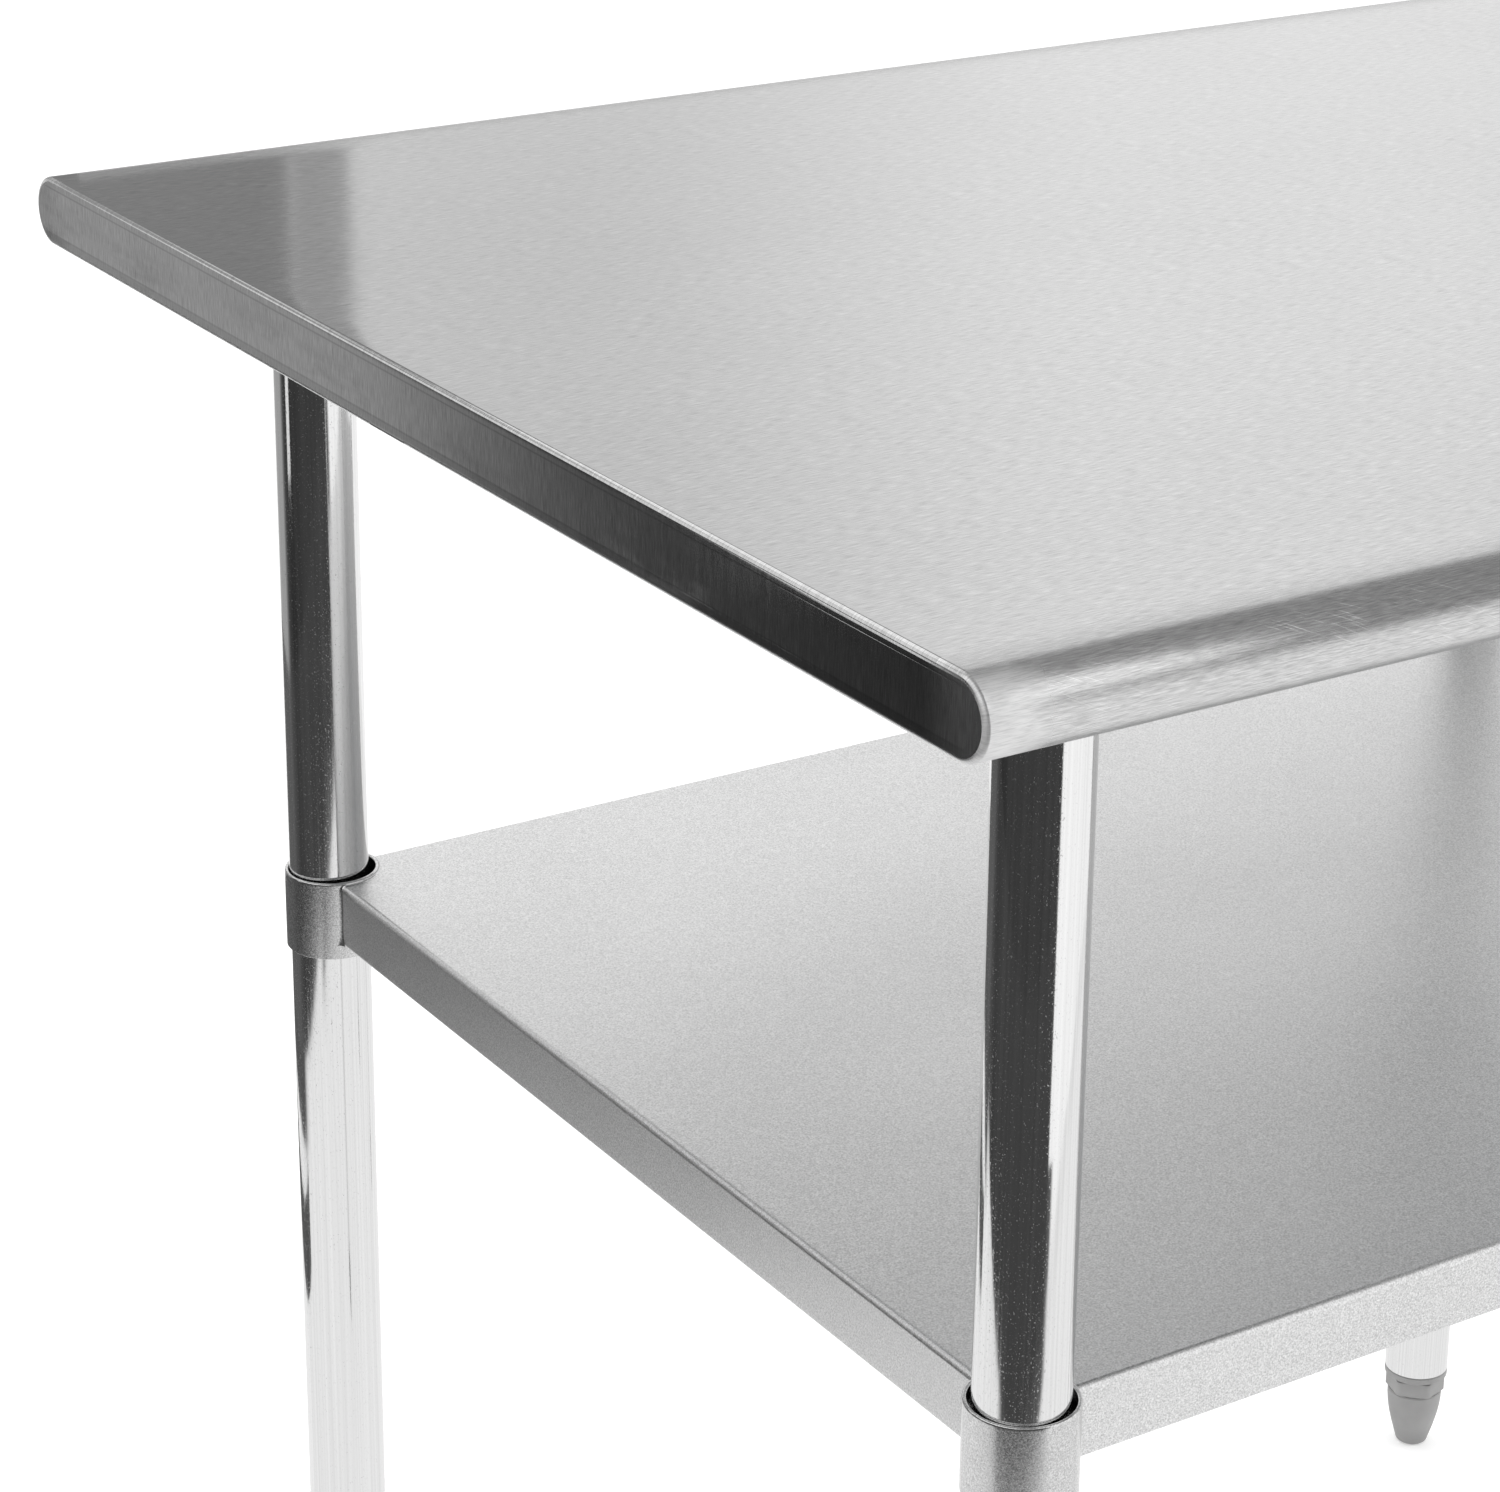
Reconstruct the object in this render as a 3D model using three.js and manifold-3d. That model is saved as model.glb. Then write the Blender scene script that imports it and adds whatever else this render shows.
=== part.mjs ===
// Stainless work table: a rolled-edge sheet top on four tube legs, with an undershelf whose corner
// collars slide on the legs and are clamped by set screws. Millimetres, +Z up, +X along the length,
// +Y to the back. The origin is on the floor, under the middle of the top.
import * as THREE from 'three';
import { mergeVertices } from 'three/addons/utils/BufferGeometryUtils.js';
import Module from 'manifold-3d';

const wasm = await Module();
wasm.setup();

// ---------------------------------------------------------------- driving dimensions
const LENGTH = 914.4;
const DEPTH = 762;
const HEIGHT = 889;
const GAP = 0.3; // left between pieces that touch or are welded

const TOP_SHEET = 1.2;
const ROLL_RADIUS = 15.875; // half-round front and back edges, so the edge is 31.75 high
const ROLL_LIP = 10; // flat return of each roll under the top
const END_LIP = 12; // inward hem along the bottom of each turned-down end

const LEG_FROM_END = 93; // leg axis to the end of the top
const LEG_FROM_SIDE = 94; // leg axis to the front or back of the top
const LEG_RADIUS = 19.05;
const LEG_WALL = 1.2;

const CHANNEL_SHEET = 1.5;
const CHANNEL_WIDTH = 110;
const CHANNEL_CROWN = 60;
const CHANNEL_DEPTH = 25;
const CHANNEL_PAST_LEG = 48; // how far a cross channel runs past the leg axes

const STUD_RADIUS = 3;
const STUD_LENGTH = 9;
const STUD_HOLE_RADIUS = 3.5;
const STUD_SPREAD = 200; // studs stand this far either side of a channel's middle
const STUD_NUT_FLATS = 10;
const STUD_NUT_HEIGHT = 5;

const SOCKET_PLATE = 84;
const SOCKET_PLATE_THICKNESS = 2.5;
const SOCKET_CORNER_RADIUS = 10;
const SOCKET_INNER_RADIUS = 19.6;
const SOCKET_WALL = 2.6;
const SOCKET_DEPTH = 26;
const SOCKET_BOSS_RADIUS = 7.5;
const SOCKET_BOSS_REACH = 27; // boss face to the leg axis
const SOCKET_SCREW_LENGTH = 12;

const SCREW_RADIUS = 4;
const SCREW_HEX_FLATS = 4;
const SCREW_HEX_DEPTH = 4;
const SCREW_CHAMFER = 0.7;

const SHELF_TOP = 553;
const SHELF_SHEET = 1.2;
const SHELF_SKIRT = 31;
const SHELF_BEND = 3;
const SHELF_HEM = 11;
const SHELF_PAST_LEG_X = 5; // skirt's outer face to the leg axes, at the ends
const SHELF_PAST_LEG_Y = 3.5; // the same, at the front and back
const SHELF_CHANNEL_LENGTH = 640;
const SHELF_CHANNEL_WIDTH = 90;
const SHELF_CHANNEL_CROWN = 50;
const SHELF_CHANNEL_DEPTH = 18;

const COLLAR_RADIUS = 22.6;
const COLLAR_WALL = 1.8;
const COLLAR_HEIGHT = 39.5;
const COLLAR_ABOVE_SHELF = 1.5;
const COLLAR_RIM_ROUND = 0.6;
const COLLAR_SCREW_DROP = 21; // collar rim to the clamp screw's axis
const COLLAR_SCREW_LENGTH = 16;
const COLLAR_NUT_FLATS = 13;
const COLLAR_NUT_HEIGHT = 6.5;

const FOOT_HEIGHT = 48;
const FOOT_TIP_RADIUS = 10;
const FOOT_TIP_ROUND = 3;
const FOOT_SHOULDER_RADIUS = 16.5;
const FOOT_SHOULDER_HEIGHT = 37;
const FOOT_HEX_FLATS = 32;
const FOOT_BORE_DEPTH = 36;
const STEM_RADIUS = 5;
const STEM_ABOVE_FOOT = 46;
const INSERT_FLANGE = 4;
const INSERT_PLUG_LENGTH = 30;
const INSERT_PLUG_CHAMFER = 2;

const TUBE_SIDES = 32;
const FOOT_SIDES = 24;
const SMALL_SIDES = 12;
const ROLL_STEPS = 7; // the half-round edge has twice this many faces

// ---------------------------------------------------------------- derived places
const LEG_X = LENGTH / 2 - LEG_FROM_END;
const LEG_Y = DEPTH / 2 - LEG_FROM_SIDE;
const TOP_UNDERSIDE = HEIGHT - TOP_SHEET;
const EDGE_BOTTOM = HEIGHT - 2 * ROLL_RADIUS;
const CHANNEL_TOP = TOP_UNDERSIDE - GAP;
const SOCKET_PLATE_TOP = CHANNEL_TOP - CHANNEL_DEPTH - GAP;
const SOCKET_CEILING = SOCKET_PLATE_TOP - SOCKET_PLATE_THICKNESS;
const LEG_TOP = SOCKET_CEILING - GAP;
const INSERT_BOTTOM = FOOT_HEIGHT + GAP;
const LEG_BOTTOM = INSERT_BOTTOM + INSERT_FLANGE + GAP;
const COLLAR_INNER_RADIUS = COLLAR_RADIUS - COLLAR_WALL;
const COLLAR_TOP = SHELF_TOP + COLLAR_ABOVE_SHELF;
// The clamp screw pushes each leg against its collar's outer side.
const COLLAR_OFFSET = COLLAR_INNER_RADIUS - LEG_RADIUS - GAP;

const CORNERS = [
  { name: 'front_left', x: -1, y: -1 },
  { name: 'front_right', x: 1, y: -1 },
  { name: 'back_left', x: -1, y: 1 },
  { name: 'back_right', x: 1, y: 1 },
];

// ---------------------------------------------------------------- materials
const metal = (color, roughness) =>
  new THREE.MeshStandardMaterial({ color, roughness, metalness: 1 });
const brushedSheet = metal(0xc9cacc, 0.34);
const polishedTube = metal(0xdcdde0, 0.12);
const satinShelf = metal(0xbfc0c2, 0.42);
const satinCollar = metal(0xb4b5b8, 0.38);
const zincPlate = metal(0xa3a7ab, 0.5);
const castSocket = metal(0x9b9da0, 0.6);
const darkScrew = metal(0x3c3d40, 0.45);
const brightThread = metal(0xb9bbbe, 0.3);
const footPlastic = new THREE.MeshStandardMaterial({ color: 0x8d9093, roughness: 0.6, metalness: 0 });

// ---------------------------------------------------------------- solids
function weld(geometry) {
  const bare = geometry.clone();
  bare.deleteAttribute('normal');
  bare.deleteAttribute('uv');
  return mergeVertices(bare, 1e-4);
}

function solidOf(geometry) {
  const welded = weld(geometry);
  const vertProperties = new Float32Array(welded.attributes.position.array);
  const triVerts = new Uint32Array(welded.index.array);
  return new wasm.Manifold(new wasm.Mesh({ numProp: 3, vertProperties, triVerts }));
}

function geometryOf(solid) {
  const mesh = solid.getMesh();
  const geometry = new THREE.BufferGeometry();
  geometry.setAttribute('position', new THREE.BufferAttribute(mesh.vertProperties, 3));
  geometry.setIndex(new THREE.BufferAttribute(mesh.triVerts, 1));
  geometry.computeVertexNormals();
  return geometry;
}

function cut(body, ...tools) {
  return geometryOf(tools.reduce((left, tool) => left.subtract(solidOf(tool)), solidOf(body)));
}

function join(...bodies) {
  return geometryOf(bodies.map(solidOf).reduce((whole, body) => whole.add(body)));
}

function common(first, second) {
  return geometryOf(solidOf(first).intersect(solidOf(second)));
}

// A box from its lowest to its highest corner.
function box(low, high) {
  const size = high.map((value, i) => value - low[i]);
  const middle = high.map((value, i) => (value + low[i]) / 2);
  return new THREE.BoxGeometry(...size).translate(...middle);
}

// An upright cylinder or prism, from z = low to z = high.
function column(radius, low, high, sides = TUBE_SIDES) {
  const shape = new THREE.CylinderGeometry(radius, radius, high - low, sides);
  return shape.rotateX(Math.PI / 2).translate(0, 0, (low + high) / 2);
}

// A hexagonal prism given by its width across flats.
function hexagon(flats, low, high) {
  return column(flats / Math.sqrt(3), low, high, 6);
}

// A solid of revolution about Z, from [radius, height] points.
function revolve(points, sides = TUBE_SIDES) {
  const profile = points.map(([radius, height]) => new THREE.Vector2(radius, height));
  return new THREE.LatheGeometry(profile, sides).rotateX(Math.PI / 2);
}

function tube(outer, inner, low, high, sides = TUBE_SIDES) {
  return revolve([[inner, low], [outer, low], [outer, high], [inner, high], [inner, low]], sides);
}

// Extrudes a YZ outline along X, or an XZ outline along Y, centred on the origin.
function extrudeAlongX(shape, length, curveSegments = ROLL_STEPS) {
  const body = new THREE.ExtrudeGeometry(shape, { depth: length, bevelEnabled: false, curveSegments });
  const axes = [new THREE.Vector3(0, 1, 0), new THREE.Vector3(0, 0, 1), new THREE.Vector3(1, 0, 0)];
  return body.translate(0, 0, -length / 2).applyMatrix4(new THREE.Matrix4().makeBasis(...axes));
}

function extrudeAlongY(shape, length, curveSegments = ROLL_STEPS) {
  return extrudeAlongX(shape, length, curveSegments).rotateZ(Math.PI / 2);
}

// Lays a Z-axis piece along +X.
const alongX = (geometry) => geometry.rotateY(Math.PI / 2);

// ---------------------------------------------------------------- table top
// The section of the top: flat above and below, half-round at the front and back.
function rolledOutline(inset) {
  const radius = ROLL_RADIUS - inset;
  const reach = DEPTH / 2 - ROLL_RADIUS;
  const middle = HEIGHT - ROLL_RADIUS;
  const outline = new THREE.Shape();
  outline.absarc(reach, middle, radius, -Math.PI / 2, Math.PI / 2, false);
  outline.absarc(-reach, middle, radius, Math.PI / 2, (3 * Math.PI) / 2, false);
  outline.closePath();
  return outline;
}

// Where the welded studs stand: four through each channel, two either side of its crown.
function studPlaces() {
  const flange = (CHANNEL_CROWN + CHANNEL_WIDTH) / 4;
  const places = [];
  for (const along of [-STUD_SPREAD, STUD_SPREAD]) {
    for (const across of [-flange, flange]) {
      places.push([-LEG_X + across, along], [LEG_X + across, along], [along, across]);
    }
  }
  return places;
}

function tableTop() {
  const outer = extrudeAlongX(rolledOutline(0), LENGTH);
  const hollow = extrudeAlongX(rolledOutline(TOP_SHEET), LENGTH - 2 * TOP_SHEET);
  const openX = LENGTH / 2 - TOP_SHEET - END_LIP;
  const openY = DEPTH / 2 - ROLL_RADIUS - ROLL_LIP;
  const mouth = box([-openX, -openY, EDGE_BOTTOM - 1], [openX, openY, EDGE_BOTTOM + TOP_SHEET + 1]);
  const skin = cut(outer, hollow, mouth);
  const studs = studPlaces().map(([x, y]) =>
    column(STUD_RADIUS, TOP_UNDERSIDE - STUD_LENGTH, TOP_UNDERSIDE + TOP_SHEET / 2, SMALL_SIDES)
      .translate(x, y, 0));
  return join(skin, ...studs);
}

// ---------------------------------------------------------------- channels
// A hat section hanging from z = 0, with its flanges on top.
function hatOutline(width, crown, depth, sheet) {
  const outline = new THREE.Shape();
  outline.moveTo(-width / 2, -sheet);
  outline.lineTo(-crown / 2, -sheet);
  outline.lineTo(-crown / 2, -depth);
  outline.lineTo(crown / 2, -depth);
  outline.lineTo(crown / 2, -sheet);
  outline.lineTo(width / 2, -sheet);
  outline.lineTo(width / 2, 0);
  outline.lineTo(crown / 2 - sheet, 0);
  outline.lineTo(crown / 2 - sheet, sheet - depth);
  outline.lineTo(sheet - crown / 2, sheet - depth);
  outline.lineTo(sheet - crown / 2, 0);
  outline.lineTo(-width / 2, 0);
  outline.closePath();
  return outline;
}

// A channel under the top, along X, with its four stud holes.
function topChannel(length) {
  const outline = hatOutline(CHANNEL_WIDTH, CHANNEL_CROWN, CHANNEL_DEPTH, CHANNEL_SHEET);
  const flange = (CHANNEL_CROWN + CHANNEL_WIDTH) / 4;
  const holes = [];
  for (const along of [-STUD_SPREAD, STUD_SPREAD]) {
    for (const across of [-flange, flange]) {
      const hole = column(STUD_HOLE_RADIUS, -CHANNEL_SHEET - 1, 1, SMALL_SIDES);
      holes.push(hole.translate(along, across, 0));
    }
  }
  return cut(extrudeAlongX(outline, length), ...holes);
}

function studNut() {
  const top = -CHANNEL_SHEET - GAP;
  const bottom = top - STUD_NUT_HEIGHT;
  return cut(hexagon(STUD_NUT_FLATS, bottom, top), column(STUD_RADIUS + GAP, bottom - 1, top + 1, SMALL_SIDES));
}

// ---------------------------------------------------------------- corner pieces
// Each is made round the leg axis, with +X pointing to the middle of the table.
function legSocket() {
  const half = SOCKET_PLATE / 2 - SOCKET_CORNER_RADIUS;
  const outline = new THREE.Shape();
  outline.absarc(half, half, SOCKET_CORNER_RADIUS, 0, Math.PI / 2, false);
  outline.absarc(-half, half, SOCKET_CORNER_RADIUS, Math.PI / 2, Math.PI, false);
  outline.absarc(-half, -half, SOCKET_CORNER_RADIUS, Math.PI, (3 * Math.PI) / 2, false);
  outline.absarc(half, -half, SOCKET_CORNER_RADIUS, (3 * Math.PI) / 2, 2 * Math.PI, false);
  outline.closePath();
  const options = { depth: SOCKET_PLATE_THICKNESS, bevelEnabled: false, curveSegments: 3 };
  const plate = new THREE.ExtrudeGeometry(outline, options).rotateZ(Math.PI / 4)
    .translate(0, 0, SOCKET_CEILING);
  const bottom = SOCKET_CEILING - SOCKET_DEPTH;
  const sleeve = column(SOCKET_INNER_RADIUS + SOCKET_WALL, bottom, SOCKET_CEILING + 1);
  const screwZ = bottom + SOCKET_DEPTH / 2;
  const boss = alongX(column(SOCKET_BOSS_RADIUS, 0, SOCKET_BOSS_REACH, SMALL_SIDES)).translate(0, 0, screwZ);
  const bore = column(SOCKET_INNER_RADIUS, bottom - 1, SOCKET_CEILING);
  const thread = alongX(column(SCREW_RADIUS + GAP, 0, SOCKET_BOSS_REACH + 1, SMALL_SIDES))
    .translate(0, 0, screwZ);
  return cut(join(plate, sleeve, boss), bore, thread);
}

// A set screw along +X, with its tip at x = 0 and a hexagon socket in its other end.
function setScrew(length) {
  const thin = SCREW_RADIUS - SCREW_CHAMFER;
  const body = revolve([
    [0, 0],
    [thin, 0],
    [SCREW_RADIUS, SCREW_CHAMFER],
    [SCREW_RADIUS, length - SCREW_CHAMFER],
    [thin, length],
    [0, length],
  ], SMALL_SIDES);
  return alongX(cut(body, hexagon(SCREW_HEX_FLATS, length - SCREW_HEX_DEPTH, length + 1)));
}

function legTube() {
  return tube(LEG_RADIUS, LEG_RADIUS - LEG_WALL, LEG_BOTTOM, LEG_TOP);
}

// The threaded plug in the leg's lower end, with a flange that the tube stands on.
function footInsert() {
  const plug = LEG_RADIUS - LEG_WALL - GAP;
  const bore = STEM_RADIUS + GAP;
  const top = LEG_BOTTOM + INSERT_PLUG_LENGTH;
  return revolve([
    [bore, INSERT_BOTTOM],
    [LEG_RADIUS, INSERT_BOTTOM],
    [LEG_RADIUS, INSERT_BOTTOM + INSERT_FLANGE],
    [plug, INSERT_BOTTOM + INSERT_FLANGE],
    [plug, top - INSERT_PLUG_CHAMFER],
    [plug - INSERT_PLUG_CHAMFER, top],
    [bore, top],
    [bore, INSERT_BOTTOM],
  ], FOOT_SIDES);
}

function footStem() {
  const bottom = FOOT_HEIGHT - FOOT_BORE_DEPTH + GAP;
  const top = FOOT_HEIGHT + STEM_ABOVE_FOOT;
  const thin = STEM_RADIUS - SCREW_CHAMFER;
  return revolve([
    [0, bottom],
    [STEM_RADIUS, bottom],
    [STEM_RADIUS, top - SCREW_CHAMFER],
    [thin, top],
    [0, top],
  ], SMALL_SIDES);
}

// The bullet: a rounded tip, a tapered body and a hexagonal head under the leg.
function bulletFoot() {
  const tip = FOOT_TIP_RADIUS - FOOT_TIP_ROUND;
  const round = [];
  for (let step = 0; step <= 3; step += 1) {
    const turn = (step / 3) * (Math.PI / 2);
    const radius = tip + FOOT_TIP_ROUND * Math.sin(turn);
    round.push([radius, FOOT_TIP_ROUND * (1 - Math.cos(turn))]);
  }
  const body = revolve([
    [0, 0],
    ...round,
    [FOOT_SHOULDER_RADIUS, FOOT_SHOULDER_HEIGHT],
    [FOOT_SHOULDER_RADIUS, FOOT_HEIGHT - 1],
    [0, FOOT_HEIGHT - 1],
  ], FOOT_SIDES);
  const head = hexagon(FOOT_HEX_FLATS, FOOT_SHOULDER_HEIGHT, FOOT_HEIGHT);
  const bore = column(STEM_RADIUS + GAP, FOOT_HEIGHT - FOOT_BORE_DEPTH, FOOT_HEIGHT + 1, SMALL_SIDES);
  return cut(join(body, head), bore);
}

// ---------------------------------------------------------------- undershelf
function roundedOutline(halfWidth, top, bottom, radius) {
  const outline = new THREE.Shape();
  outline.moveTo(-halfWidth, bottom);
  outline.lineTo(halfWidth, bottom);
  outline.absarc(halfWidth - radius, top - radius, radius, 0, Math.PI / 2, false);
  outline.absarc(radius - halfWidth, top - radius, radius, Math.PI / 2, Math.PI, false);
  outline.closePath();
  return outline;
}

// A block whose top edges are rounded on all four sides.
function trayBlock(halfX, halfY, top, bottom, radius) {
  const steps = 2;
  const length = extrudeAlongX(roundedOutline(halfY, top, bottom, radius), 2 * halfX, steps);
  const depth = extrudeAlongY(roundedOutline(halfX, top, bottom, radius), 2 * halfY, steps);
  return common(length, depth);
}

function collarCentre(corner) {
  const diagonal = COLLAR_OFFSET / Math.SQRT2;
  return [corner.x * (LEG_X - diagonal), corner.y * (LEG_Y - diagonal)];
}

function undershelf() {
  const halfX = LEG_X + SHELF_PAST_LEG_X;
  const halfY = LEG_Y + SHELF_PAST_LEG_Y;
  const bottom = SHELF_TOP - SHELF_SKIRT;
  const inside = SHELF_SHEET;
  const outer = trayBlock(halfX, halfY, SHELF_TOP, bottom, SHELF_BEND);
  const hollow = trayBlock(
    halfX - inside, halfY - inside, SHELF_TOP - inside, bottom + inside, SHELF_BEND - inside);
  const openX = halfX - inside - SHELF_HEM;
  const openY = halfY - inside - SHELF_HEM;
  const mouth = box([-openX, -openY, bottom - 1], [openX, openY, bottom + inside + 1]);
  const notches = CORNERS.map((corner) => {
    const [x, y] = collarCentre(corner);
    return column(COLLAR_RADIUS + GAP, bottom - 5, SHELF_TOP + 5).translate(x, y, 0);
  });
  return cut(outer, hollow, mouth, ...notches);
}

// A short tube round the leg, with a rounded rim and a hole for the clamp screw.
function shelfCollar() {
  const bottom = COLLAR_TOP - COLLAR_HEIGHT;
  const round = COLLAR_RIM_ROUND;
  const ring = revolve([
    [COLLAR_INNER_RADIUS, bottom],
    [COLLAR_RADIUS, bottom],
    [COLLAR_RADIUS, COLLAR_TOP - round],
    [COLLAR_RADIUS - round, COLLAR_TOP],
    [COLLAR_INNER_RADIUS + round, COLLAR_TOP],
    [COLLAR_INNER_RADIUS, COLLAR_TOP - round],
    [COLLAR_INNER_RADIUS, bottom],
  ]);
  const hole = alongX(column(SCREW_RADIUS + GAP, 0, 2 * COLLAR_RADIUS, SMALL_SIDES))
    .translate(0, 0, COLLAR_TOP - COLLAR_SCREW_DROP);
  return cut(ring, hole);
}

function collarNut() {
  const near = COLLAR_RADIUS + GAP;
  const far = near + COLLAR_NUT_HEIGHT;
  const nut = hexagon(COLLAR_NUT_FLATS, near, far);
  return alongX(cut(nut, column(SCREW_RADIUS + GAP, near - 1, far + 1, SMALL_SIDES)));
}

// ---------------------------------------------------------------- assembly
const table = new THREE.Group();
table.name = 'work_table';

function place(parent, name, geometry, material, position = [0, 0, 0]) {
  const mesh = new THREE.Mesh(geometry, material);
  mesh.name = name;
  mesh.position.set(...position);
  parent.add(mesh);
  return mesh;
}

place(table, 'table_top', tableTop(), brushedSheet);

const crossChannel = topChannel(2 * (LEG_Y + CHANNEL_PAST_LEG));
for (const [name, side] of [['cross_channel_left', -1], ['cross_channel_right', 1]]) {
  const channel = place(table, name, crossChannel, zincPlate, [side * LEG_X, 0, CHANNEL_TOP]);
  channel.rotation.z = Math.PI / 2;
}
const centreLength = 2 * (LEG_X - CHANNEL_WIDTH / 2 - 1);
place(table, 'centre_channel', topChannel(centreLength), zincPlate, [0, 0, CHANNEL_TOP]);

const nut = studNut();
studPlaces().forEach(([x, y], index) => {
  const number = String(index + 1).padStart(2, '0');
  place(table, `channel_nut_${number}`, nut, brightThread, [x, y, CHANNEL_TOP]);
});

place(table, 'undershelf', undershelf(), satinShelf);
const shelfHat = hatOutline(SHELF_CHANNEL_WIDTH, SHELF_CHANNEL_CROWN, SHELF_CHANNEL_DEPTH, SHELF_SHEET);
place(table, 'shelf_channel', extrudeAlongX(shelfHat, SHELF_CHANNEL_LENGTH), zincPlate,
  [0, 0, SHELF_TOP - SHELF_SHEET - GAP]);

const cornerPieces = {
  socket: legSocket(),
  socketScrew: setScrew(SOCKET_SCREW_LENGTH),
  leg: legTube(),
  insert: footInsert(),
  stem: footStem(),
  foot: bulletFoot(),
  collar: shelfCollar(),
  collarNut: collarNut(),
  collarScrew: setScrew(COLLAR_SCREW_LENGTH),
};
const socketScrewZ = SOCKET_CEILING - SOCKET_DEPTH / 2;
const collarScrewZ = COLLAR_TOP - COLLAR_SCREW_DROP;
const screwTip = LEG_RADIUS + GAP;

for (const corner of CORNERS) {
  const group = new THREE.Group();
  group.position.set(corner.x * LEG_X, corner.y * LEG_Y, 0);
  group.rotation.z = Math.atan2(-corner.y, -corner.x);
  table.add(group);
  place(group, `leg_socket_${corner.name}`, cornerPieces.socket, castSocket);
  place(group, `socket_screw_${corner.name}`, cornerPieces.socketScrew, darkScrew,
    [screwTip, 0, socketScrewZ]);
  place(group, `leg_${corner.name}`, cornerPieces.leg, polishedTube);
  place(group, `foot_insert_${corner.name}`, cornerPieces.insert, footPlastic);
  place(group, `foot_stem_${corner.name}`, cornerPieces.stem, brightThread);
  place(group, `bullet_foot_${corner.name}`, cornerPieces.foot, footPlastic);
  place(group, `shelf_collar_${corner.name}`, cornerPieces.collar, satinCollar, [COLLAR_OFFSET, 0, 0]);
  place(group, `collar_nut_${corner.name}`, cornerPieces.collarNut, brightThread,
    [COLLAR_OFFSET, 0, collarScrewZ]);
  place(group, `collar_screw_${corner.name}`, cornerPieces.collarScrew, darkScrew,
    [screwTip, 0, collarScrewZ]);
}

export default table;
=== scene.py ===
"""The looks of a stainless work table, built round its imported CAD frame.

Metres, +X along the length, +Y to the back, +Z up.
"""
import math

import bmesh
import bpy
from mathutils import Matrix, Vector


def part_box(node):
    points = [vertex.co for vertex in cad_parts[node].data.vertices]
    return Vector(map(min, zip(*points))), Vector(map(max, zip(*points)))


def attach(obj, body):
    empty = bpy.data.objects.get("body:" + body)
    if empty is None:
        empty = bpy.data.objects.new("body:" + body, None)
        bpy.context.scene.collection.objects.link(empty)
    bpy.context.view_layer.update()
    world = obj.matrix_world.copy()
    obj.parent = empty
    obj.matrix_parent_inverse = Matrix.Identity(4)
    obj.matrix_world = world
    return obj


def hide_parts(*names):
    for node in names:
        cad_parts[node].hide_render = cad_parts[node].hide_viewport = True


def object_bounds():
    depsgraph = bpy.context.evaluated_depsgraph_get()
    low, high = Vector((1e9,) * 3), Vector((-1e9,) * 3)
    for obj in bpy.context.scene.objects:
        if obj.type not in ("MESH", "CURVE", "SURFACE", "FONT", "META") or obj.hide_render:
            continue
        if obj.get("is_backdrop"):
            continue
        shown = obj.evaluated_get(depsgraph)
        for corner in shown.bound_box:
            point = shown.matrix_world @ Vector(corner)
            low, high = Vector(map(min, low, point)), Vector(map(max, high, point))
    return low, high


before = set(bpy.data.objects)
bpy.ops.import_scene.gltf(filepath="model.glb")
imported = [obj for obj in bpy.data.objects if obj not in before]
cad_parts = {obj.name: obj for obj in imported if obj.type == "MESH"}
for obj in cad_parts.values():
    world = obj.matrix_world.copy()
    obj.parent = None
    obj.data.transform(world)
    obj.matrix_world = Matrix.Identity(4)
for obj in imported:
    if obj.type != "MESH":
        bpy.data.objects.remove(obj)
CAD_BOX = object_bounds()

MM = 0.001
GAP = 0.3 * MM  # left between pieces that touch or are welded

# ---------------------------------------------------------------- sizes
TOP_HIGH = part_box("table_top")[1]
HALF_LENGTH = TOP_HIGH.x
HALF_DEPTH = TOP_HIGH.y
TOP_Z = TOP_HIGH.z
TOP_SHEET = 1.2 * MM
ROLL_RADIUS = 15.875 * MM
ROLL_LIP = 10 * MM
END_LIP = 12 * MM
END_ROUND = 2.3 * MM  # ground edge round each end face
ROLL_STEPS = 28

LEG_RADIUS = 19.05 * MM
LEG_WALL = 1.2 * MM

CHANNEL_SHEET = 1.5 * MM
CHANNEL_WIDTH = 110 * MM
CHANNEL_CROWN = 60 * MM
CHANNEL_BEND = 3 * MM
SHELF_CHANNEL_WIDTH = 90 * MM
SHELF_CHANNEL_CROWN = 50 * MM

STUD_RADIUS = 3 * MM
STUD_LENGTH = 7.8 * MM
STUD_PITCH = 1 * MM

SHELF_LOW, SHELF_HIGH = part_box("undershelf")
SHELF_SHEET = 1.2 * MM
SHELF_BEND = 3 * MM
SKIRT_BEND = 1.8 * MM  # between the skirt and its hem
SHELF_HEM = 11 * MM

COLLAR_RADIUS = 22.6 * MM
COLLAR_WALL = 1.8 * MM

COLLAR_NUT_FLATS = 13 * MM
COLLAR_NUT_HEIGHT = 6.5 * MM

SOCKET_PLATE = 2.5 * MM  # thickness of the plate
SOCKET_HALF_WIDTH = 42 * MM
SOCKET_CORNER_RADIUS = 10 * MM
SOCKET_INNER_RADIUS = 19.6 * MM
SOCKET_OUTER_RADIUS = 22.2 * MM
SOCKET_FLARE = 3 * MM  # fillet between sleeve and plate
SOCKET_BOSS_RADIUS = 7.5 * MM
SOCKET_BOSS_REACH = 27 * MM  # boss face to the leg's axis

SCREW_RADIUS = 4 * MM
SCREW_PITCH = 1.25 * MM
SCREW_HEX = 4 * MM
SCREW_HEX_DEPTH = 4 * MM
SOCKET_SCREW_LENGTH = 12 * MM
CLAMP_SCREW_LENGTH = 16 * MM
STEM_RADIUS = 5 * MM
STEM_PITCH = 1.5 * MM

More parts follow.
